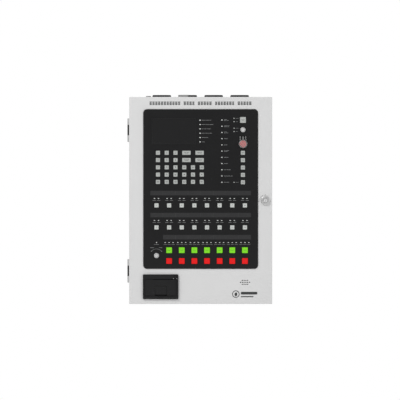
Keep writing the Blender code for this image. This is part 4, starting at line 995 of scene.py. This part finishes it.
def make_switches():
    front = -FASCIA_FRONT
    for name, degrees in (("silence", 0.0), ("mode", -48.5)):
        barrel, plug = f"{name}_switch_barrel", f"{name}_switch_plug"
        low, high, place = around(barrel)
        top, radius = -low.y, (high.x - low.x) / 2
        outline = [
            (0.0043, top - 0.0004), (0.0047, top), (radius - 0.0009, top), (radius - 0.0002, top - 0.0005),
            (radius, top - 0.0012), (radius, front + 0.0003), (0.0054, front + 0.0003), (0.0054, -high.y),
            (0.0043, -high.y),
        ]
        bm = turned(barrel, outline, 56, True)
        piece(f"{name}_switch_body", bm, NICKEL, "door", "bright_metal", barrel)
        ring = nut(place.x, -0.1192, place.z, 0.0024, 0.0082, 0.0055, 32)
        piece(f"{name}_switch_nut", ring, ZINC, "door", "zinc_plate")
        keyed_plug(f"{name}_switch_core", plug, f"{name}_switch", 0.0040, -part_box(plug)[1].y,
                   math.radians(degrees), (0.0010, 0.0052))


def make_guard():
    node = "emergency_button"
    place = middle(node)
    outline = [
        (0.0, 0.0055), (0.0045, 0.0054), (0.0072, 0.0052), (0.0084, 0.0047), (0.0089, 0.0040),
        (0.0090, 0.0032), (0.0090, -0.0020), (0.0050, -0.0020), (0.0050, -0.0068), (0.0, -0.0068),
    ]
    bm = turned(node, outline, 56, y=FASCIA_FRONT)
    piece("red_button", bm, RED_GLOSS, node, "key_red", node)

    outline = [
        (0.0, 0.0085), (0.0060, 0.0084), (0.0086, 0.0081), (0.0104, 0.0073), (0.0113, 0.0063),
        (0.0116, 0.0052), (0.0116, 0.0013), (0.0109, 0.0013), (0.0109, 0.0051), (0.0106, 0.0059),
        (0.0099, 0.0067), (0.0084, 0.0074), (0.0059, 0.0077), (0.0, 0.0078),
    ]
    bm = turned(node, outline, 64, y=FASCIA_FRONT)
    hinge_z, hinge_y = place.z + 0.0175, FASCIA_FRONT - 0.0030
    for offset, width, start in ((-0.0072, 0.0027, 0.0093), (0.0, 0.0044, 0.0111), (0.0072, 0.0027, 0.0093)):
        x = place.x + offset
        prong = made(block, (x - width / 2, FASCIA_FRONT - 0.0054, place.z + start),
                     (x + width / 2, FASCIA_FRONT - 0.0017, place.z + 0.0200))
        ends = []
        for edge in prong.edges:
            one, other = [vert.co for vert in edge.verts]
            if abs(one.x - other.x) > width / 2 and one.z > hinge_z:
                ends.append(edge)
        bevel(prong, ends, 0.0014, 4)
        bm = joined(bm, prong)
    bore = made(rod, (place.x - 0.012, hinge_y, hinge_z), 0.024, 0.0011, "X", 16)
    piece("guard_lid", carved(bm, bore), COVER, "guard_cover", "clear_cover", "guard_cover")
    dress("guard_base", BLACK)


def make_lock():
    low, high, place = around("lock_barrel")
    front, top = -DOOR_FRONT, -low.y
    outline = [
        (0.0055, top - 0.0005), (0.0060, top), (0.0098, top), (0.0104, top - 0.0001), (0.0113, top - 0.0008),
        (0.0118, top - 0.0016), (0.0120, top - 0.0026), (0.0120, front + 0.0003), (0.0075, front + 0.0003),
        (0.0075, -high.y), (0.0055, -high.y),
    ]
    bm = turned("lock_barrel", outline, 72, True)
    piece("lock_body", bm, NICKEL, "door", "bright_metal", "lock_barrel")
    ring = nut(place.x, DOOR_FRONT + SHEET + GAP, place.z, 0.0035, 0.0118, 0.0076, 40)
    piece("lock_nut", ring, ZINC, "door", "zinc_plate")
    tail = [(0.0027, LOCK_STEP), (0.0027, -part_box("lock_plug")[1].y)]
    keyed_plug("lock_core", "lock_plug", "cam_lock", 0.0052, LOCK_STEP, 0.0, (0.0013, 0.0070), tail)
    dress("lock_cam", ZINC)
    ring = nut(place.x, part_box("lock_cam")[1].y, place.z, 0.0013, 0.0046, 0.0026, 24)
    piece("cam_nut", ring, STEEL, "cam_lock", "bright_metal")

    marks = made(arc, place.x, place.z, 0.0158, -84, -34, 0.0007, DOOR_FRONT)
    arrow(marks, place.x - 0.0084, place.z + 0.0134, 0.0014, 60, DOOR_FRONT)
    padlock(marks, place.x - 0.0010, place.z + 0.0152, DOOR_FRONT, 0)
    padlock(marks, place.x - 0.0176, place.z - 0.0012, DOOR_FRONT, 1)
    piece("lock_marks", marks, SIGN_INK, "door", "print_ink")


def padlock(bm, x, z, front, opened):
    ink(bm, x, z - 0.0006, 0.0026, 0.0020, front)
    arc(bm, x + 0.0009 * opened, z + 0.0004, 0.0009, -90, 90, 0.0004, front, 10)


# Printer


BAY_LEFT, BAY_RIGHT = -0.149, -0.0644
TEAR_X = -0.1055
FLAP_PIVOT_Z = -0.2508


def make_printer_case():
    low, high, place = around("printer_housing")
    front = low.y
    bm = made(panel, place.x + 0.0002, place.z - 0.0003, high.x - low.x + 0.0007, high.z - low.z + 0.0009,
              DOOR_FRONT - GAP, front, 0.003, 0.0007, 6)
    bm = joined(bm, made(panel, place.x, place.z, 0.088, 0.060, high.y, DOOR_FRONT - 0.0012, 0.001))
    button = middle("feed_button")
    small = made(rod, (button.x, front - 0.001, button.z), 0.010, 0.0045, "Y", 40)
    rod(small, (-0.151, -0.1313, FLAP_PIVOT_Z), 0.0886, 0.0015, "X", 20)
    bay_x = (BAY_LEFT + BAY_RIGHT) / 2
    for tool in (
        made(panel, bay_x, -0.23145, 0.0846, 0.0457, DOOR_FRONT + 0.004, front - 0.001, 0.0008),
        made(block, (BAY_LEFT, DOOR_FRONT + 0.0005, -0.256), (BAY_RIGHT, high.y - 0.0012, -0.2005)),
        made(rod, (TEAR_X, front - 0.001, -0.2425), 0.004, 0.0155, "Y", 64),
        small,
    ):
        bm = carved(bm, tool)
    piece("printer_case", bm, BLACK, "door", "black_plastic", "printer_housing")

    low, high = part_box("feed_button")
    top, back = -low.y, -high.y
    outline = [(0.0, 0.1341), (0.0024, 0.1342), (0.0030, top), (0.0034, top - 0.0002), (0.0036, 0.1338),
               (0.0036, back), (0.0, back)]
    bm = turned("feed_button", outline, 40)
    piece("feed_key", bm, BLACK, "feed_button", "black_plastic", "feed_button")
    bm = bmesh.new()
    for x, z in ((-0.0721, -0.2071), (-0.0631, -0.2078)):
        rod(bm, (x, front - 0.0002, z), 0.0012, 0.0007, "Y", 16)
    piece("printer_lamps", bm, LENS_PLASTIC, "door", "led_lens")


def make_flap():
    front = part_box("printer_flap")[0].y
    back = front + 0.0030
    left, right, top, bottom = -0.1485, -0.0649, -0.2089, -0.2536
    bm = made(panel, (left + right) / 2, (top + bottom) / 2, right - left, top - bottom, back, front,
              0.0008, 0.0005)
    bm = carved(bm, made(panel, TEAR_X, -0.24085, 0.0314, 0.0275, back + 0.001, front - 0.001, 0.0006))
    bm = carved(bm, made(panel, -0.09925, top, 0.0543, 0.0028, back + 0.001, front - 0.001, 0.0006))
    arms = bmesh.new()
    for x in (-0.1303, -0.0687):
        panel(arms, x, -0.2143, 0.0020, 0.0083, back + 0.008, back - OVERLAP)
    roller = middle("platen_roller")
    bm = carved(joined(bm, arms), made(rod, (-0.135, roller.y, roller.z), 0.071, 0.0018, "X", 20))
    pins = bmesh.new()
    for x in (left - 0.0016, right - 0.0024):
        rod(pins, (x, front + 0.0015, FLAP_PIVOT_Z), 0.004, 0.0012, "X", 16)
    piece("flap_cover", joined(bm, pins), BLACK, "printer_flap", "black_plastic", "printer_flap")

    low, high, place = around("printer_lever")
    bm = made(panel, TEAR_X, -0.23885, 0.0308, 0.0229, high.y, low.y, 0.0008, 0.0006)
    for row in range(3):
        panel(bm, TEAR_X, -0.2452 + row * 0.0016, 0.0200, 0.0007, low.y + 0.0003, low.y - 0.0002, 0.0002)
    pins = bmesh.new()
    for x in (-0.1224, -0.0916):
        rod(pins, (x, place.y, -0.229), 0.0030, 0.0007, "X", 12)
    piece("flap_lever", joined(bm, pins), BLACK, "printer_lever", "black_plastic", "printer_lever")


def make_paper():
    guide = made(panel, TEAR_X, -0.2516, 0.0400, 0.0078, -0.1248, -0.1262, 0.0006, 0.0003)
    for x in (-0.1245, -0.0865):
        panel(guide, x, -0.2536, 0.0016, 0.0042, -0.1100, -0.1255, 0.0004)
    piece("paper_guide", guide, BLACK, "door", "black_plastic")
    dress("platen_roller", RUBBER)
    low, high, place = around("paper_roll")
    radius, length = (high.z - low.z) / 2, high.x - low.x
    coils = [(radius - 0.0002 - step * 0.0011, 0.0001 * (step % 2)) for step in range(9)]
    outline = [(radius, length), (radius, 0.0), *coils, (0.006, 0.0), (0.006, length)]
    outline += [(reach, length - dip) for reach, dip in reversed(coils)]
    bm = made(lathe, outline, (low.x, place.y, place.z), "right", 56, True)
    piece("paper_coil", bm, PAPER, "paper_roll", "paper", "paper_roll")


# Speaker and hinges


def make_speaker():
    low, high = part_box("speaker")
    radius = (high.x - low.x) / 2
    front, back = -low.y, -high.y
    outline = [
        (radius - 0.006, front - 0.0008), (radius - 0.006, front), (radius, front), (radius, front - 0.0025),
        (radius - 0.006, front - 0.0040), (0.0170, front - 0.0100), (0.0150, front - 0.0105),
        (0.0150, back + 0.0006), (0.0144, back), (0.0, back), (0.0, front - 0.0065), (0.0100, front - 0.0060),
    ]
    piece("speaker_frame", turned("speaker", outline, 56, True), ZINC, "door", "zinc_plate", "speaker")
    outline = [
        (0.0, front - 0.0030), (0.0050, front - 0.0034), (0.0085, front - 0.0050), (0.0090, front - 0.0052),
        (radius - 0.0090, front - 0.0014), (radius - 0.0075, front - 0.0006),
        (radius - 0.0062, front - 0.0012), (radius - 0.0062, front - 0.0018), (0.0088, front - 0.0058),
        (0.0, front - 0.0058),
    ]
    piece("speaker_cone", turned("speaker", outline, 56), CONE, "door", "black_plastic")


KNUCKLE = 0.017


def make_hinges():
    for name, centre in HINGE_NODES.items():
        dress(f"hinge_{name}_pin", STEEL)
        dress(f"hinge_{name}_door_leaf", BLACK)
        outline = [(0.0024, 0.0141), (0.0038, 0.0141), (0.0042, 0.0137), (0.0042, -0.0137), (0.0038, -0.0141),
                   (0.0024, -0.0141)]
        sleeve = made(lathe, outline, (HINGE_X, HINGE_Y, centre), "up", 40, True)
        piece(f"hinge_{name}_sleeve", sleeve, BLACK, "door", "black_plastic")
        leaf = f"hinge_{name}_frame_leaf"
        low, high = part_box(leaf)
        half = (high.z - low.z) / 2
        left, bottom, top = high.x - 0.002, centre - half, centre + half
        bm = made(soft_block, (left, HINGE_Y + 0.0040, bottom), (high.x, high.y, top), 0.0003, 1)
        for side, facing in ((-1, "down"), (1, "up")):
            inside = centre + side * (half - KNUCKLE)
            outline = [(0.0, KNUCKLE), (0.0024, KNUCKLE), (0.0034, KNUCKLE * 0.985), (0.0042, KNUCKLE * 0.94),
                       (0.0045, KNUCKLE * 0.88), (0.0045, 0.0), (0.0, 0.0)]
            bm = joined(bm, made(lathe, outline, (HINGE_X, HINGE_Y, inside), facing, 40))
            low_end, high_end = sorted((inside, centre + side * half))
            bm = joined(bm, made(block, (left, HINGE_Y, low_end), (high.x, HINGE_Y + 0.0045, high_end)))
        bore = made(rod, (HINGE_X, HINGE_Y, bottom - 0.001), 2 * half + 0.002, 0.0018, "Z", 24)
        piece(f"hinge_{name}_frame", carved(bm, bore), HINGE, "cabinet", "hinge_grey", leaf)


# Inside the box


BOARD_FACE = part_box("main_board")[0].y + 0.012
TERMINAL_ROWS = (-0.1023, 0.0, 0.1023)
TERMINAL_INSET = 0.0085
POLE_PITCH = 0.0112


def chips(places, face, side):
    """Packages on a board's face, and their rows of legs. They are in front of it where side is -1."""
    bodies, legs = bmesh.new(), bmesh.new()
    for x, z, width, height in places:
        near, far = sorted((face + side * 0.0003, face + side * 0.0022))
        slab(bodies, x, z, width, height, far, near)
        near, far = sorted((face, face + side * 0.0009))
        count = max(3, int(width / 0.0016))
        for index in range(count):
            leg = x - width / 2 + width * (index + 0.5) / count
            for row in SIDES:
                edge = z + row * (height / 2 + 0.0006)
                block(legs, (leg - 0.0002, near, edge - 0.0008), (leg + 0.0002, far, edge + 0.0008))
    return bodies, legs


def make_main_board():
    face = BOARD_FACE
    dress("main_board", BOARD)
    relays, cans, terminals, screws, sockets = (bmesh.new() for _ in range(5))
    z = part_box("main_board")[1].z - TERMINAL_INSET
    for centre in TERMINAL_ROWS:
        for index in range(18):
            pole = centre - 0.0459 + 0.0051 * (index + 0.5)
            panel(terminals, pole, z - 0.0075, 0.0047, 0.025, face - 0.0002, face - 0.0105, 0.0004, 0.0006, 2)
            rod(screws, (pole, face - 0.0109, z - 0.0045), 0.0010, 0.0017, "Y", 16)
            block(sockets, (pole - 0.0014, face - 0.0108, z - 0.0165),
                  (pole + 0.0014, face - 0.0100, z - 0.0125))
    bodies, legs = chips((
        (-0.115, -0.070, 0.022, 0.010), (-0.045, -0.055, 0.018, 0.018), (0.020, -0.080, 0.012, 0.006),
        (0.062, -0.050, 0.016, 0.008), (-0.082, -0.026, 0.014, 0.007), (0.118, -0.088, 0.020, 0.009),
        (0.030, -0.030, 0.010, 0.006), (-0.010, -0.100, 0.018, 0.008), (0.092, -0.020, 0.010, 0.006),
    ), face, -1)
    for index in range(6):
        slab(relays, 0.068 + index * 0.0165, -0.0040, 0.0144, 0.0200, face - 0.0003, face - 0.0150, 0.0006, 2)
    for x, z, radius, tall in (
        (-0.145, -0.100, 0.0063, 0.016), (-0.128, -0.104, 0.0050, 0.013), (-0.145, -0.078, 0.0050, 0.013),
        (0.142, -0.050, 0.0063, 0.018), (-0.020, -0.030, 0.0040, 0.011), (0.050, -0.108, 0.0050, 0.013),
        (0.064, -0.108, 0.0050, 0.013),
    ):
        outline = [(0.0, tall), (radius * 0.82, tall), (radius, tall - 0.0008), (radius, 0.0014),
                   (radius * 0.94, 0.0010), (radius, 0.0006), (radius, 0.0), (0.0, 0.0)]
        lathe(cans, outline, (x, face, z), "front", 28)
    for x, z, count in ((-0.150, -0.020, 10), (-0.150, -0.048, 8), (0.150, -0.115, 6), (0.000, -0.118, 12)):
        slab(sockets, x, z, 0.0060, count * 0.0025, face - 0.0003, face - 0.0075)
    piece("board_chips", bodies, CHIP, "cabinet", "component")
    piece("board_legs", legs, COPPER, "cabinet", "bright_metal")
    piece("board_relays", relays, RELAY, "cabinet", "component")
    piece("board_capacitors", cans, CHIP, "cabinet", "component")
    piece("board_terminals", terminals, TERMINAL, "cabinet", "terminal_green")
    piece("terminal_screws", screws, COPPER, "cabinet", "bright_metal")
    piece("board_sockets", sockets, CHIP, "cabinet", "component")


def make_power_supply():
    low, high, place = around("power_supply")
    vents = bmesh.new()
    for row in range(8):
        for column in range(15):
            x = low.x + 0.062 + column * 0.0096 + (row % 2) * 0.0048
            rod(vents, (x, low.y - 0.001, low.z + 0.014 + row * POLE_PITCH), 0.004, 0.0032, "Y", 6)
    bm = carved(tray(low, high, 0.001, 2, 0.0012), vents)
    piece("supply_case", bm, ZINC, "cabinet", "zinc_plate", "power_supply")

    strip, screws = bmesh.new(), bmesh.new()
    for index in range(7):
        z = low.z + 0.022 + index * POLE_PITCH
        slab(strip, low.x + 0.015, z, 0.018, 0.0104, low.y - 0.0002, low.y - 0.0068, 0.0005, 2)
        rod(screws, (low.x + 0.013, low.y - 0.0076, z), 0.0012, 0.0032, "Y", 20)
    piece("supply_terminals", strip, CHIP, "cabinet", "component")
    piece("supply_screws", screws, COPPER, "cabinet", "bright_metal")
    plate = made(panel, low.x + 0.042, place.z, 0.020, 0.070, low.y - 0.00005, low.y - 0.0003, 0.001)
    piece("supply_label", plate, WHITE_PLASTIC, "cabinet", "paper")


TAB_SPREAD = 0.151 * 0.40
TAB_DEPTH = 0.065 * 0.23


def make_batteries():
    for side in ("left", "right"):
        node = f"battery_{side}"
        low, high, place = around(node)
        top = high.z - 0.006
        bm = made(soft_block, low, (high.x, high.y, top - 0.0130), 0.0014)
        soft_block(bm, (low.x + 0.0006, low.y + 0.0006, top - 0.0136),
                   (high.x - 0.0006, high.y - 0.0006, top - 0.0022), 0.0010)
        soft_block(bm, (low.x + 0.010, low.y + 0.012, top - 0.0030),
                   (high.x - 0.010, high.y - 0.020, top), 0.0006)
        piece(f"{node}_case", bm, BATTERY, "cabinet", "battery_grey", node)
        label = made(panel, place.x, (low.z + top) / 2 - 0.006, 0.110, 0.052, low.y - 0.00005,
                     low.y - 0.0003, 0.002)
        piece(f"{node}_label", label, PAPER, "cabinet", "paper")
        tabs = bmesh.new()
        y = high.y - TAB_DEPTH
        for edge in SIDES:
            x = place.x + edge * TAB_SPREAD
            soft_block(tabs, (x - 0.0032, y - 0.0004, top - 0.004),
                       (x + 0.0032, y + 0.0004, high.z), 0.0001, 1)
        piece(f"{node}_tabs", tabs, COPPER, "cabinet", "bright_metal")


def make_display_board():
    low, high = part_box("display_board")
    back = high.y
    dress("display_board", BOARD)
    bodies, legs = chips((
        (-0.070, 0.050, 0.020, 0.020), (-0.110, 0.100, 0.014, 0.008), (0.020, 0.080, 0.018, 0.009),
        (0.060, 0.000, 0.014, 0.007), (-0.020, -0.030, 0.014, 0.007), (-0.100, -0.040, 0.014, 0.007),
        (0.100, -0.060, 0.014, 0.007), (0.010, -0.110, 0.014, 0.007), (-0.080, -0.120, 0.014, 0.007),
        (0.080, -0.140, 0.014, 0.007), (0.050, 0.150, 0.012, 0.006), (0.080, 0.100, 0.012, 0.006),
    ), back, 1)
    sockets, posts = bmesh.new(), bmesh.new()
    for x, z, width, height in (
        (-0.128, 0.000, 0.008, 0.034), (-0.128, -0.100, 0.008, 0.020), (0.000, 0.215, 0.050, 0.008),
    ):
        slab(sockets, x, z, width, height, back + 0.0085, back + 0.0002, 0.0004)
    for x in (low.x + 0.006, 0.0, high.x - 0.006):
        for z in (low.z + 0.006, high.z - 0.006):
            rod(posts, (x, back, z), 0.0016, 0.0028, "Y", 6)
            rod(posts, (x, back + 0.0014, z), 0.0014, 0.0018, "Y", 16)
    piece("display_board_chips", bodies, CHIP, "door", "component")
    piece("display_board_legs", legs, COPPER, "door", "bright_metal")
    piece("display_board_sockets", sockets, WHITE_PLASTIC, "door", "component")
    piece("display_board_screws", posts, COPPER, "door", "bright_metal")


# Wiring


DOOR_STUD = (-0.168, DOOR_FRONT + SHEET - 0.0002, -0.090)
BOX_STUD = (-HALF_WIDTH + SHEET - 0.0002, -0.030, -0.105)
LOOP_X = -0.1790
RIBBON_PITCH = 0.0013


def make_battery_leads():
    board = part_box("main_board")[0]
    left, right = around("battery_left"), around("battery_right")
    y = left[1].y - TAB_DEPTH
    top = left[1].z
    sides = (("left", -1, left[2].x, WIRE_RED), ("right", 1, right[2].x, WIRE_BLACK))
    for index, (side, sign, centre, colour) in enumerate(sides):
        x = centre + sign * TAB_SPREAD
        end_z = board.z + 0.005 * index
        cable(f"battery_lead_{side}", [
            (x, y, top - 0.001), (x, y - 0.004, top + 0.008), (x + sign * 0.004, y - 0.006, top + 0.022),
            (x * 0.9 + 0.02 * index, BOARD_FACE - 0.012, board.z + 0.006),
            (0.148, BOARD_FACE - 0.012, end_z + 0.010), (0.150, BOARD_FACE - 0.0070, end_z + 0.012),
        ], 0.0014, colour, "cabinet")
    inner_left, inner_right = left[2].x + TAB_SPREAD, right[2].x - TAB_SPREAD
    cable("battery_link", [
        (inner_left, y, top - 0.001), (inner_left + 0.003, y - 0.004, top + 0.007),
        (0.0, y - 0.012, top + 0.004),
        (inner_right - 0.003, y - 0.004, top + 0.007), (inner_right, y, top - 0.001),
    ], 0.0014, WIRE_RED, "cabinet")


def make_supply_wires():
    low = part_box("power_supply")[0]
    for index in range(4):
        z = low.z + 0.022 + index * POLE_PITCH
        cable(f"supply_wire_{index + 1}", [
            (low.x + 0.013, low.y - 0.0075, z), (low.x + 0.004, low.y - 0.012, z - 0.002),
            (low.x - 0.008, low.y + 0.006, z - 0.010 - 0.004 * index),
            (low.x - 0.009, BOARD_FACE - 0.012, 0.055 - 0.003 * index),
            (low.x + 0.004, BOARD_FACE - 0.014, 0.020 - 0.006 * index),
            (-0.150, BOARD_FACE - 0.0068, -0.0100 - 0.0050 * index),
        ], 0.0012, (WIRE_RED, WIRE_BLACK)[index % 2], "cabinet")


def door_wire(name, start, z, end, radius, material):
    """A wire that loops over the door's hinge line at one height. It is baked in place and rides on no body.
    """
    wire = cable(name, [
        start, ((start[0] + LOOP_X + 0.0015) / 2, start[1] - 0.014, start[2] + 0.006),
        (LOOP_X + 0.0015, -0.060, z * 0.6 + start[2] * 0.4), (LOOP_X, -0.085, z), (LOOP_X, -0.103, z),
        (LOOP_X + 0.0020, -0.112, z), ((LOOP_X + 0.0020 + end[0]) / 2, end[1] - 0.001, (z + end[2]) / 2), end,
    ], radius, material)
    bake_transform(wire)


def make_door_wires():
    for name, body, place, axis in (("door", "door", DOOR_STUD, "Y"), ("box", "cabinet", BOX_STUD, "X")):
        stud = joined(made(rod, place, 0.0064, 0.0018, axis, 20), made(rod, place, 0.0030, 0.0042, axis, 6))
        piece(f"{name}_earth_stud", stud, COPPER, body, "bright_metal")
    for row in range(8):
        z = row * RIBBON_PITCH
        start = (-0.1505, BOARD_FACE - 0.0072, -0.052 + z)
        door_wire(f"door_ribbon_{row + 1}", start, z, (-0.128, -0.1105, z - 0.004), 0.00065, WIRE_GREY)
    start, end = (-0.1840, *BOX_STUD[1:]), (DOOR_STUD[0], -0.1240, DOOR_STUD[2])
    door_wire("door_earth_1", start, -0.060, end, 0.0016, WIRE_GREEN)


def main():
    make_stage()
    make_box()
    make_plugs()
    make_door()
    make_mats()
    make_single_keys()
    make_fascia()
    make_display()
    make_indicators()
    make_label_strips()
    make_door_print()
    make_switches()
    make_guard()
    make_lock()
    make_printer_case()
    make_flap()
    make_paper()
    make_speaker()
    make_hinges()
    dress("backplate", ZINC)
    make_main_board()
    make_power_supply()
    make_batteries()
    make_display_board()
    make_battery_leads()
    make_supply_wires()
    make_door_wires()


main()
